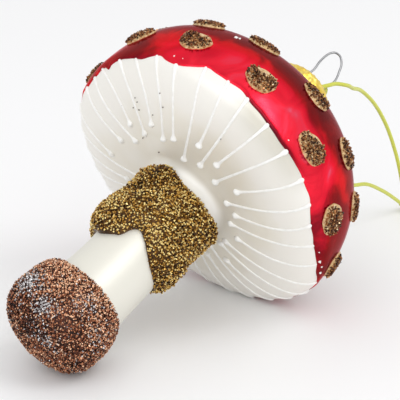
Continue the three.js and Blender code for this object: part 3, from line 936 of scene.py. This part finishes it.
# %% Crystals, and even places for them
CRYSTAL = np.array([[1, 0, 0], [-1, 0, 0], [0, 1, 0], [0, -1, 0], [0, 0, 1], [0, 0, -1]], float)
CRYSTAL_FACES = np.array(
    [[0, 2, 4], [2, 1, 4], [1, 3, 4], [3, 0, 4], [2, 0, 5], [1, 2, 5], [3, 1, 5], [0, 3, 5]]
)
CRYSTAL_STRETCH = (0.75, 1.2)
GOLDEN_ANGLE = np.pi * (3 - np.sqrt(5))
ANGLE_JITTER = 0.03
RUFFLE_WAVES = 6
WAVES_ROUND = (5, 12)
WAVES_ALONG = (2, 6)


def strewn(centres, sizes, shades, draw):
    """A crystal at each centre: size times the eight-sided shape, stretched and turned at random.

    The turn is the matrix of a random unit quaternion w, x, y, z.
    """
    count = len(centres)
    q = draw.normal(size=(count, 4))
    w, x, y, z = (q / np.linalg.norm(q, axis=1)[:, None]).T
    turn = np.stack(
        [
            1 - 2 * (y * y + z * z), 2 * (x * y - w * z), 2 * (x * z + w * y),
            2 * (x * y + w * z), 1 - 2 * (x * x + z * z), 2 * (y * z - w * x),
            2 * (x * z - w * y), 2 * (y * z + w * x), 1 - 2 * (x * x + y * y),
        ],
        -1,
    ).reshape(count, 3, 3)
    shape = CRYSTAL * draw.uniform(*CRYSTAL_STRETCH, (count, 1, 3)) * sizes[:, None, None] * MM
    points = centres[:, None] + shape @ turn
    faces = (np.arange(count)[:, None, None] * len(CRYSTAL) + CRYSTAL_FACES).reshape(-1, 3)
    return points.reshape(-1, 3), [faces], np.repeat(shades, len(CRYSTAL))


def spread_out(count, draw):
    """Places on a crust: even shares along it, and angles a golden angle apart, both a little off."""
    index = np.arange(count)
    share = (index + draw.uniform(0, 1, count)) / count
    return share, GOLDEN_ANGLE * index + draw.normal(0, ANGLE_JITTER, count)


def ruffle(angle, share, seed, size, fineness=1.0):
    """Lumps of glue: a sum of waves round and along the crust, with random turns, finer as asked."""
    draw = np.random.default_rng(seed)
    total = 0.0
    for _ in range(RUFFLE_WAVES):
        round_count = np.round(fineness * draw.uniform(*WAVES_ROUND))
        along_count = fineness * draw.uniform(*WAVES_ALONG)
        total = total + np.sin(round_count * angle + along_count * TAU * share + draw.uniform(0, TAU))
    return size * total / np.sqrt(RUFFLE_WAVES)


print("a crystal has", len(CRYSTAL), "points and", len(CRYSTAL_FACES), "faces")

# %% Glitter materials


def glitter(name, stops):
    """A glitter material: each crystal's own shade picks its colour from a row of tones."""
    material, tree, surface = new_material(name, {"Metallic": 0.6, "Roughness": 0.24})
    shade = add_node(tree, "Attribute", attribute_name="shade").outputs["Fac"]
    tone = add_node(tree, "ValToRGB", {"Fac": shade}, stops=stops)
    set_inputs(tree, surface, {"Base Color": tone.outputs[0]})
    return material


# Coarse metallised glitter: old gold on the skirt, copper and silver on the foot, bronze on
# the spots. Dark and bright crystals lie side by side, as flakes do that face away or shine:
# the spread of tones is partly each flake's own tone, partly painted shade and painted glints.
gold_glitter = glitter(
    "old_gold_glitter",
    [(0.0, "#2A1604"), (0.25, "#664210"), (0.5, "#9E7028"), (0.75, "#D2A54C"), (1.0, "#F4DC94")],
)
copper_tones = [(0.0, "#22110C"), (0.25, "#562E20"), (0.5, "#92553A"), (0.72, "#CC8A62"), (0.86, "#F4C6A2")]
silver_tones = [(0.9, "#A8A2A2"), (1.0, "#F4F2F2")]
copper_glitter = glitter("copper_and_silver_glitter", copper_tones + silver_tones)
bronze_glitter = glitter(
    "bronze_glitter",
    [(0.0, "#241006"), (0.3, "#542C16"), (0.55, "#88522A"), (0.8, "#BE8A56"), (1.0, "#EED2A8")],
)
# The crust takes only the darkest tones, as painted shade in the gaps between crystals.
GAP_PAINTED_SHADES = (0.0, 0.2)
print("glitter", gold_glitter.name, copper_glitter.name, bronze_glitter.name)

# %% [markdown]
# ## The skirt
# A collar of gold glitter goes round the stem under the cap and flares to an uneven hem.
# It could be sculpted, but then nothing would tie it to the stem. Its bulk over the stem is a
# short curve from collar to hem, and the hem's height goes round the stem as a closed curve,
# so one function of angle and share gives the crust.

# %% The skirt's form: collar and hem as degrees and height, and bulk as share and mm
SKIRT_TOP = [
    (0, -11.6), (90, -11.4), (137, -11.2), (197, -11.2),
    (206, -12.2), (250, -12.6), (272, -12.2), (292, -11.4),
]
SKIRT_HEM = [
    (0, -36), (45, -37), (90, -36), (136, -36.2), (165, -38.4), (190, -37.5), (201, -36.2), (206, -33.8),
    (215, -32.4), (228, -33.4), (247, -35.8), (260, -37.1), (288, -37.9), (316, -37.8), (340, -36.5),
]
SKIRT_BULK = [
    (0, 0.5), (0.05, 1.6), (0.2, 1.8), (0.35, 2.0), (0.5, 2.7),
    (0.68, 3.6), (0.8, 3.6), (0.9, 2.9), (0.97, 1.6), (1, 0.5),
]
SKIRT_MARKS = [
    (15, 308, -14, 8, 1.6),
    (15, 190, -14, 6, 0.5),
    (15, 172, -20, 6, -1.0),
    (15, 235, -22, 6, 0.5),
    (15, 262, -28, 6, -0.6),
    (15, 20, -26, 8, 0.8),
    (15, 75, -20, 7, -0.6),
]
HEM_FADE = 4


def on_skirt(angle, share, proud=0.0):
    """A point on the skirt: stem radius plus bulk and lumps, between collar and hem, square to the axis."""
    top = round_the_axis(SKIRT_TOP, angle)
    height = top + (round_the_axis(SKIRT_HEM, angle) - top) * share
    height, share, angle, proud = np.broadcast_arrays(height, share, angle, proud)
    stem_radius = np.minimum(glass_radius(run_at_height(height)), STEM_TOP_RADIUS)
    radius = stem_radius + np.interp(share, *np.array(SKIRT_BULK).T)
    lumps = swell(place(radius, angle, height), SKIRT_MARKS) * np.minimum(1, HEM_FADE * (1 - share))
    return place(radius + proud + lumps, angle, height)


print("two points of the hem in mm", (on_skirt(np.array([0.0, np.pi]), 1.0) / MM).round(1).tolist())

# %% Gold skirt: crust and crystals
SKIRT_TONES = [
    (14, 180, -14, 5, -0.18),
    (14, 225, -18, 5, 0.1),
    (15, 232, -32, 5.5, 0.3),
    (14, 304, -13, 5, -0.25),
    (15, 300, -33, 5, -0.15),
    (15, 60, -25, 7, 0.12),
]
SKIRT_COLUMNS = 160
SKIRT_ROWS = 60
SKIRT_LUMP = 0.2
SKIRT_CLUMP = 0.3
SKIRT_LOOSE = (0.0, 0.3)
SKIRT_THICKNESS = 4.6
SKIRT_CRYSTALS = 9000
SKIRT_CRYSTAL_SIZE = (0.28, 0.42)
SKIRT_SHADE = 0.61
SKIRT_SHADE_SPREAD = 0.38
SKIRT_PATCH_SHADE = 0.07
# Painted shade: crystals in the hollows between clumps are darker.
SKIRT_HOLLOW_PAINTED_SHADE = 0.17

draw = np.random.default_rng(21)
angle = even_turn(SKIRT_COLUMNS)[None, :]
share = np.linspace(0, 1, SKIRT_ROWS)[:, None]
outer = on_skirt(angle, share, ruffle(angle, share, seed=5, size=SKIRT_LUMP))
inner = on_skirt(angle, np.array([1.0, 0.5, 0.0])[:, None], -SKIRT_THICKNESS)
points, faces = looped_grid(np.concatenate([outer, inner]))
skirt_crust = (points, faces, draw.uniform(*GAP_PAINTED_SHADES, len(points)))

share, angle = spread_out(SKIRT_CRYSTALS, draw)
clumps = ruffle(angle, share, seed=4, size=1.0, fineness=4.0)
proud = ruffle(angle, share, seed=5, size=SKIRT_LUMP) + SKIRT_CLUMP * clumps
centres = on_skirt(angle, share, proud + draw.uniform(*SKIRT_LOOSE, SKIRT_CRYSTALS))
# Random patches of tone, painted shade in the hollows between clumps, and the skirt's tone marks.
patches_and_painted_light = ruffle(angle, share, seed=9, size=SKIRT_PATCH_SHADE, fineness=0.5)
patches_and_painted_light = patches_and_painted_light + SKIRT_HOLLOW_PAINTED_SHADE * clumps + swell(centres, SKIRT_TONES)
shades = np.clip(draw.normal(SKIRT_SHADE, SKIRT_SHADE_SPREAD, SKIRT_CRYSTALS) + patches_and_painted_light, 0, 1)
crystals = strewn(centres, draw.uniform(*SKIRT_CRYSTAL_SIZE, SKIRT_CRYSTALS), shades, draw)
points, faces, shade = joined([skirt_crust, crystals])
skirt = new_piece("skirt", points, faces, [gold_glitter], smooth=False, shade=shade)
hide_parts("skirt_glitter")
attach(skirt, "ornament")
print("skirt faces", len(skirt.data.polygons))

# %% [markdown]
# ## The foot
# The foot bulb was rolled in glue and copper glitter, with flecks of silver in patches.
# A ball with a displacement would do for it, but a turned outline says where the crust ends
# on the stem. It has lumps and hollows, like an earthy root.

# %% The foot's form
FOOT_OUTLINE = [
    (10.8, -53.8),
    (11.8, -53.3),
    (12.9, -54.7),
    (14.1, -57.2),
    (14.8, -61.0),
    (14.7, -65.2),
    (13.2, -69.2),
    (9.4, -72.0),
    (4.9, -73.1),
    (0.05, -73.3),
]
FOOT_MARKS = [
    (14, 155, -54.5, 6, 1.3),
    (15, 136, -63, 9, 1.0),
    (15, 140, -59, 4, -0.4),
    (15, 160, -65, 5, 0.4),
    (15, 316, -64, 8, -0.4),
    (15, 262, -58, 6, -0.4),
    (15, 75, -62, 7, 0.7),
    (7, 180, -72, 5, -0.9),
    (9, 260, -71, 6, 0.5),
]
FOOT_SPACING = 0.4
FOOT_LUMP = 0.1
NECK_FADE = 3.0
TIP_FADE = 8.0

foot_curve = smooth_path(FOOT_OUTLINE, FOOT_SPACING)
on_foot, foot_run = turned_surface(foot_curve, FOOT_MARKS)
foot_length = foot_run[-1]


def foot_lumps(angle, along, clumps=0.0):
    """Lumps of glue in mm, with clumps added, which fade to nothing at the foot's neck and tip."""
    fade = np.clip(along / NECK_FADE, 0, 1) * np.clip((foot_length - along) / TIP_FADE, 0, 1)
    return fade * (ruffle(angle, along / foot_length, seed=6, size=FOOT_LUMP) + clumps)


print("foot's outline in mm", foot_length.round(1))

# %% Copper foot: crust and crystals
# Painted light on the foot: lighter on the top, darker low down and at its end.
FOOT_PAINTED_LIGHT = [
    (15, 195, -58, 8.0, 0.4),
    (12, 290, -70, 7.0, -0.15),
    (10, 168, -72, 6.0, -0.15),
    (15, 225, -58, 6.0, 0.2),
    (15, 265, -64, 6.0, 0.16),
    (6, 195, -72.8, 6.0, -0.3),
    (15, 140, -67, 7.0, -0.12),
    (15, 60, -60, 7.0, 0.12),
]
SILVER_PATCHES = [
    (15, 166, -64.5, 3.2, 1.1),
    (14, 201, -68.5, 2.6, 1.1),
    (14, 178, -67, 5.0, 0.15),
    (15, 235, -60, 3.4, 0.4),
    (7, 205, -72.8, 3.0, 0.2),
    (8, 240, -72.5, 2.5, 0.4),
    (15, 270, -63, 4.0, 0.15),
    (16, 20, -62, 5.0, 0.4),
    (15, 90, -66, 4.0, 0.5),
]
FOOT_COLUMNS = 140
FOOT_ROWS = 70
FOOT_CLUMP = 0.12
FOOT_LOOSE = (0.0, 0.25)
FOOT_CRYSTALS = 11500
FOOT_CRYSTAL_SIZE = (0.22, 0.36)
FOOT_SHADE = 0.49
FOOT_SHADE_SPREAD = 0.32
FOOT_PATCH_SHADE = 0.06
# Painted shade: crystals in the hollows between clumps are darker.
FOOT_HOLLOW_PAINTED_SHADE = 0.1
BRIGHTEST_COPPER = 0.86
SILVER_SHADES = (0.9, 1.0)
STRAY_SILVER = 0.02

draw = np.random.default_rng(33)
angle = even_turn(FOOT_COLUMNS)[None, :]
along = np.linspace(0, foot_length, FOOT_ROWS)[:, None]
points, faces = capped_grid(on_foot(angle, along, foot_lumps(angle, along)))
foot_crust = (points, faces, draw.uniform(*GAP_PAINTED_SHADES, len(points)))

band = 0.5 * (foot_curve[1:, 0] + foot_curve[:-1, 0]) * np.diff(foot_run)
area = np.concatenate([[0], np.cumsum(band)])
share, angle = spread_out(FOOT_CRYSTALS, draw)
along = np.interp(share, area / area[-1], foot_run)
clumps = ruffle(angle, along / foot_length, seed=7, size=1.0, fineness=4.0)
proud = foot_lumps(angle, along, FOOT_CLUMP * clumps) + draw.uniform(*FOOT_LOOSE, FOOT_CRYSTALS)
centres = on_foot(angle, along, proud)
# Random patches of tone, painted shade in the hollows between clumps, and painted light from the foot's
# marks.
patches_and_painted_light = ruffle(angle, along / foot_length, seed=8, size=FOOT_PATCH_SHADE, fineness=0.5)
patches_and_painted_light = patches_and_painted_light + FOOT_HOLLOW_PAINTED_SHADE * clumps + swell(centres, FOOT_PAINTED_LIGHT)
copper = np.clip(draw.normal(FOOT_SHADE, FOOT_SHADE_SPREAD, FOOT_CRYSTALS) + patches_and_painted_light, 0, BRIGHTEST_COPPER)
is_silver = draw.uniform(0, 1, FOOT_CRYSTALS) < STRAY_SILVER + swell(centres, SILVER_PATCHES)
shades = np.where(is_silver, draw.uniform(*SILVER_SHADES, FOOT_CRYSTALS), copper)
crystals = strewn(centres, draw.uniform(*FOOT_CRYSTAL_SIZE, FOOT_CRYSTALS), shades, draw)
points, faces, shade = joined([foot_crust, crystals])
foot = new_piece("foot", points, faces, [copper_glitter], smooth=False, shade=shade)
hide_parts("foot_glitter")
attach(foot, "ornament")
print("foot faces", len(foot.data.polygons))

# %% [markdown]
# ## The spots
# Each spot is a pad of tan glue, a little uneven in outline, strewn with bronze glitter that
# slid towards the rim before it dried, so that a pale border shows, widest towards the crown.
# They could be copies of one pad, but hand-dabbed spots all differ. The solid model's spots
# give the places, and one loop makes all of them, each with waves of its own.

# %% Tan glue
# Glue filled with fine pale glitter dust: matt, grainy and light tan.
GLUE_GRAIN = 0.45
GLUE_RELIEF = 0.2

tan_glue, tree, surface = new_material("tan_glitter_glue", {"Roughness": 0.5, "Metallic": 0.15})
where = add_node(tree, "TexCoord").outputs["Object"]
dust = add_node(tree, "TexVoronoi", {"Vector": where, "Scale": 1 / (GLUE_GRAIN * MM)})
tan_stops = [(0.0, "#A9824E"), (0.45, "#CFA873"), (0.8, "#E2C393"), (1.0, "#F6E6C8")]
tan = add_node(tree, "ValToRGB", {"Fac": dust.outputs["Color"]}, stops=tan_stops)
grain_inputs = {"Height": dust.outputs["Distance"], "Strength": 0.6, "Distance": GLUE_RELIEF * MM}
grainy = add_node(tree, "Bump", grain_inputs)
set_inputs(tree, surface, {"Base Color": tan.outputs[0], "Normal": grainy.outputs[0]})
print(tan_glue.name, len(tree.nodes), "nodes")

# %% The form of a spot, with waves in its outline as a count and a size
SPOT_HALF_LENGTH = 4.95
SPOT_HALF_WIDTH = 4.2
SPOT_PAD = 1.0
SPOT_BELOW_MIDDLE = 0.3
SPOT_WAVES = [(2, 0.05), (3, 0.045), (7, 0.02)]


def spot_surface(name, draw):
    """A function of (reach, angle, mm proud) for a spot: reach times an uneven oval, laid on the glass."""
    low, high = (np.array(corner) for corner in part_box(name))
    offset = (low + high) / 2 / MM - RIM
    spot_angle = np.arctan2(offset @ SIDE, offset @ DOWN)
    spot_along = run_at_height(offset @ AXIS - SPOT_BELOW_MIDDLE)
    spot_radius = glass_radius(spot_along)
    wave = draw.uniform(0, TAU, len(SPOT_WAVES))

    def surface(reach, around, proud):
        uneven = 1.0
        for (count, size), start in zip(SPOT_WAVES, wave):
            uneven = uneven + size * np.cos(count * around + start)
        sideways = SPOT_HALF_LENGTH * reach * uneven * np.sin(around)
        along = SPOT_HALF_WIDTH * reach * uneven * np.cos(around)
        return on_glass(spot_angle + sideways / spot_radius, spot_along + along, proud)

    return surface, wave


def pad_height(reach):
    """How far a pad stands proud of the glass: nearly flat, and round at its edge, as sqrt(1 - reach^4)."""
    return COAT + SPOT_PAD * (1 - reach**4) ** 0.5


print("a pad stands", pad_height(0), "mm proud in its middle")

# %% Twenty-four spots
SPOT_COLUMNS = 48
SPOT_ROWS = 10
SPOT_MIDDLE = 0.06
SPOT_UNDER = 0.2
SPOT_CRYSTALS = 260
SPOT_CRYSTAL_SIZE = (0.28, 0.44)
SPOT_SHADE = 0.46
SPOT_SHADE_SPREAD = 0.26
SPOT_LOOSE = (0.0, 0.6)
SPOT_ANGLE_JITTER = 0.08
CRYSTAL_REACH = 0.97
BARE_FROM = 0.5
BARE_JITTER = 0.1
BARE_WAVE = 0.2

pad_around = even_turn(SPOT_COLUMNS)[None, :]
pad_reach = np.sin(np.linspace(SPOT_MIDDLE, 1, SPOT_ROWS) * np.pi / 2)[:, None]
under_reach = np.array([1.0, 0.5, SPOT_MIDDLE])[:, None]
index = np.arange(SPOT_CRYSTALS)
for name in sorted(node for node in frame["nodes"] if node.startswith("spot_")):
    draw = np.random.default_rng(sum(map(ord, name)))
    on_spot, wave = spot_surface(name, draw)
    pad = on_spot(pad_reach, pad_around, pad_height(pad_reach))
    under = on_spot(under_reach, pad_around, -SPOT_UNDER)
    pad_points, pad_faces = capped_grid(np.concatenate([pad, under]))

    reach = CRYSTAL_REACH * np.sqrt((index + 0.5) / SPOT_CRYSTALS)
    around = GOLDEN_ANGLE * index + draw.normal(0, SPOT_ANGLE_JITTER, SPOT_CRYSTALS)
    bare = draw.normal(0, BARE_JITTER, SPOT_CRYSTALS) - reach * np.cos(around)
    kept = bare + BARE_WAVE * np.cos(2 * around + wave[1]) < BARE_FROM
    reach, around = reach[kept], around[kept]
    count = len(reach)
    centres = on_spot(reach, around, pad_height(reach) + draw.uniform(*SPOT_LOOSE, count))
    shades = np.clip(draw.normal(SPOT_SHADE, SPOT_SHADE_SPREAD, count), 0, 1)
    crystals = strewn(centres, draw.uniform(*SPOT_CRYSTAL_SIZE, count), shades, draw)
    points, faces, shade = joined([(pad_points, pad_faces, np.zeros(len(pad_points))), crystals])
    pad_count = sum(map(len, pad_faces))
    is_crystal = np.arange(sum(map(len, faces))) >= pad_count
    spot = new_piece(
        name.replace("spot", "glitter_spot"),
        points,
        faces,
        [tan_glue, bronze_glitter],
        smooth=~is_crystal,
        face_material=is_crystal,
        shade=shade,
    )
    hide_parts(name)
    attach(spot, "ornament")
print("last spot faces", len(spot.data.polygons))

# %% [markdown]
# ## Strays
# A few dark crystals fell on the white glass, and a few white flecks lie on the red.
# Dots in the two lacquers would be simpler, but specks this small stay sharp only as meshes,
# so they are crystals too.

# %% Stray crystals on the underside: degrees, and radius
STRAY_CRYSTALS = [
    (168.4, 34.2), (168.8, 32.9), (163.5, 31.1), (167.8, 30.4), (185.8, 37.4), (186.8, 33.2), (178, 29.4),
    (163, 23.8), (155.8, 21.3), (166, 16), (200.5, 16), (220.6, 34.7), (238.4, 17.2), (154.2, 32.3),
]
STRAY_SIZE = 0.24
STRAY_SHADE = 0.12
STRAY_PROUD = 0.15

draw = np.random.default_rng(3)
degrees, radius = np.array(STRAY_CRYSTALS).T
centres = on_glass(np.radians(degrees), run_at_radius(radius), STRAY_PROUD)
sizes = np.full(len(centres), STRAY_SIZE)
points, faces, shade = strewn(centres, sizes, np.full(len(centres), STRAY_SHADE), draw)
stray = new_piece("stray_crystals", points, faces, [bronze_glitter], smooth=False, shade=shade)
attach(stray, "ornament")
print("stray crystals", len(centres))

# %% White flecks on the red, two high on the cap and the rest near the rim: degrees, height, and size
WHITE_FLECKS = [
    (195.5, 20.0, 0.8), (196.8, 20.6, 0.6), (286.5, -3.5, 0.35), (292, -3.3, 0.65), (296, -2.6, 0.5),
    (300, -2.5, 0.6), (238.7, 1.2, 0.28), (188, 0.6, 0.35), (191.5, 0.9, 0.22),
]

degrees, height, sizes = np.array(WHITE_FLECKS).T
centres = on_glass(np.radians(degrees), run_at_height(height), COAT)
points, faces, _ = strewn(centres, sizes, np.zeros(len(sizes)), draw)
flecks = new_piece("white_flecks", points, faces, [relief_paint])
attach(flecks, "ornament")
print("paint flecks", len(centres))

# %% [markdown]
# ## Crown and hanger
# A cap of thin stamped gold tin grips the neck, its side pressed into rows of small beads.
# A bump could show the beads, but they break the crown's outline too, so a product of two
# waves moves the points themselves. The hanger is one length of steel wire, springy, with
# both ends held inside the neck, and the cord's tube function draws it.

# %% Stamped gold tin
# Thin tin plate with a gold varnish: a bright warm metal, a little scuffed.
TIN_SCUFF = 1.2

gold_tin, tree, surface = new_material("gold_varnished_tin", {"Metallic": 0.85})
where = add_node(tree, "TexCoord").outputs["Object"]
scuff_inputs = {"Vector": where, "Scale": 1 / (TIN_SCUFF * MM), "Detail": 4.0}
scuffs = add_node(tree, "TexNoise", scuff_inputs).outputs["Fac"]
varnish = add_node(tree, "ValToRGB", {"Fac": scuffs}, stops=[(0.3, "#ECC344"), (0.7, "#FCE67E")])
rough = add_node(tree, "MapRange", {"Value": scuffs, "To Min": 0.2, "To Max": 0.42})
set_inputs(tree, surface, {"Base Color": varnish.outputs[0], "Roughness": rough.outputs[0]})
print(gold_tin.name, len(tree.nodes), "nodes")

# %% Crown: radius, and height from the crown's top
CROWN_OUTLINE = [
    (11.1, -9.0),
    (10.4, -7.4),
    (10.1, -5.6),
    (10.1, -2.2),
    (9.8, -0.4),
    (8.7, 0.7),
    (6.2, 1.1),
    (0.05, 1.2),
]
CROWN_SPACING = 0.25
CROWN_COLUMNS = 220
CROWN_ROWS = 90
CROWN_BEADS = 24
CROWN_BEAD_ROWS = 6
CROWN_BEAD = 0.22
CROWN_PLAIN_TOP = 7.5
CROWN_LINING = 0.5
LINING_STEP = 6


def about_neck(radius, angle, height):
    """A point turned about the neck: radius (cos angle leg + sin angle face), from the crown's top."""
    return on_crown(radius * np.cos(angle), radius * np.sin(angle), CROWN_TOP + height)


crown_curve = smooth_path(CROWN_OUTLINE, CROWN_SPACING)
on_tin, tin_run = turned_surface(crown_curve[::-1], placed=about_neck)
angle = even_turn(CROWN_COLUMNS)[None, :]
along = np.linspace(0, tin_run[-1], CROWN_ROWS)[:, None]
row = (along - CROWN_PLAIN_TOP) / (tin_run[-1] - CROWN_PLAIN_TOP) * CROWN_BEAD_ROWS
round_wave = np.clip(np.cos(CROWN_BEADS * angle + np.pi * np.floor(row)), 0, 1)
pressed = CROWN_BEAD * round_wave * np.abs(np.sin(np.pi * row)) * (row > 0)
tin = on_tin(angle, along, pressed)
lining = on_tin(angle, along[::-LINING_STEP], -CROWN_LINING)
points, faces = capped_grid(np.concatenate([tin, lining]))
crown = new_piece("stamped_crown", points, faces, [gold_tin])
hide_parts("crown_cap")
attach(crown, "crown")
print("crown faces", len(crown.data.polygons))

# %% Steel wire
# Drawn spring steel: a dull grey shine with fine drawing lines along it.
DRAWN_LINE = 6.0
LINES_ROUND = 9

spring_steel, tree, surface = new_material("drawn_spring_steel", {"Metallic": 1.0, "Roughness": 0.32})
where = add_node(tree, "UVMap", uv_map="UVMap").outputs[0]
stretch = (1 / (DRAWN_LINE * MM), LINES_ROUND, 1)
stretched = add_node(tree, "Mapping", {"Vector": where, "Scale": stretch}).outputs[0]
lines = add_node(tree, "TexNoise", {"Vector": stretched, "Scale": 1.0, "Detail": 3.0}).outputs["Fac"]
steel = add_node(tree, "ValToRGB", {"Fac": lines}, stops=[(0.3, "#58595C"), (0.7, "#C8C8CA")])
set_inputs(tree, surface, {"Base Color": steel.outputs[0]})
print(spring_steel.name, len(tree.nodes), "nodes")

# %% Wire hanger: places across and above the crown's top
WIRE_DRAWN_RADIUS = 0.36
WIRE_SPACING = 0.4
WIRE_SIDES = 12
WIRE_ROUTE = [
    (-7.6, -24.0), (-5.4, -17.5), (-3.4, -12.0), (-3.4, -6.0), (-3.4, 0.0), (-2.4, 4.0),
    (-1.4, 8.1), (-1.8, 12.3), (-1.7, 15.5), (-1.2, 17.6), (-0.3, 18.9), (1.3, 19.3),
    (3.2, 18.0), (4.8, 14.6), (5.8, 10.8), (5.0, 7.0), (4.0, 3.0), (3.4, 0.0), (3.4, -6.0),
    (3.4, -12.0), (5.4, -17.5), (7.6, -24.0),
]

across, above = np.array(WIRE_ROUTE).T
wire_path = smooth_path(on_crown(across, 0.0, CROWN_TOP + above) / MM, WIRE_SPACING)
points, faces, uv = tube(wire_path * MM, WIRE_DRAWN_RADIUS * MM, WIRE_SIDES)
wire = new_piece("wire_loop", points, faces, [spring_steel], uv=uv)
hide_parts("wire_hanger")
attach(wire, "hanger")
print("wire length in mm", run_along(wire_path)[-1].round(1))

# %% [markdown]
# ## Stage and light
# A white table under broad soft light. A picture of a studio could light it from all sides,
# but two large square lamps and an even white world give the same soft shadow, and each
# colour renders about as it is written.

# %% Floor, lamps and world, in metres and watts
FLOOR_HALF = 3.0
AIM = np.array([0.0, 0.0, 0.04])
LAMP_SIDE_HINT = (0.1, 1.0, 0.05)
WORLD_STRENGTH = 0.81

paper, _, _ = new_material("white_paper_sweep", {"Base Color": linear("#F7F7F8"), "Roughness": 0.55})
corners = np.array([[-1, -1, 0], [1, -1, 0], [1, 1, 0], [-1, 1, 0]]) * FLOOR_HALF
floor = new_piece("floor", corners, [np.array([[0, 1, 2, 3]])], [paper])


def softbox(name, at, size, watts):
    """A square area lamp at a place, turned so that it faces the aim."""
    lamp = bpy.data.lights.new(name, "AREA")
    lamp.size = size
    lamp.energy = watts
    back = at - AIM
    back /= np.linalg.norm(back)
    across = np.cross(LAMP_SIDE_HINT, back)
    across /= np.linalg.norm(across)
    add_object(name, lamp).matrix_world = pose(across, np.cross(back, across), back, at)


softbox("key_softbox", at=(0.35, -1.15, 1.5), size=0.9, watts=8.0)
softbox("fill_softbox", at=(-1.3, -0.8, 1.1), size=2.0, watts=10.5)

world = bpy.data.worlds.new("studio")
world.use_nodes = True
background = world.node_tree.nodes["Background"]
set_inputs(world.node_tree, background, {"Color": linear("#FFFFFF"), "Strength": WORLD_STRENGTH})
bpy.context.scene.world = world
bpy.context.scene.view_settings.view_transform = "Standard"
print("lamps", [lamp.name for lamp in bpy.data.lights])
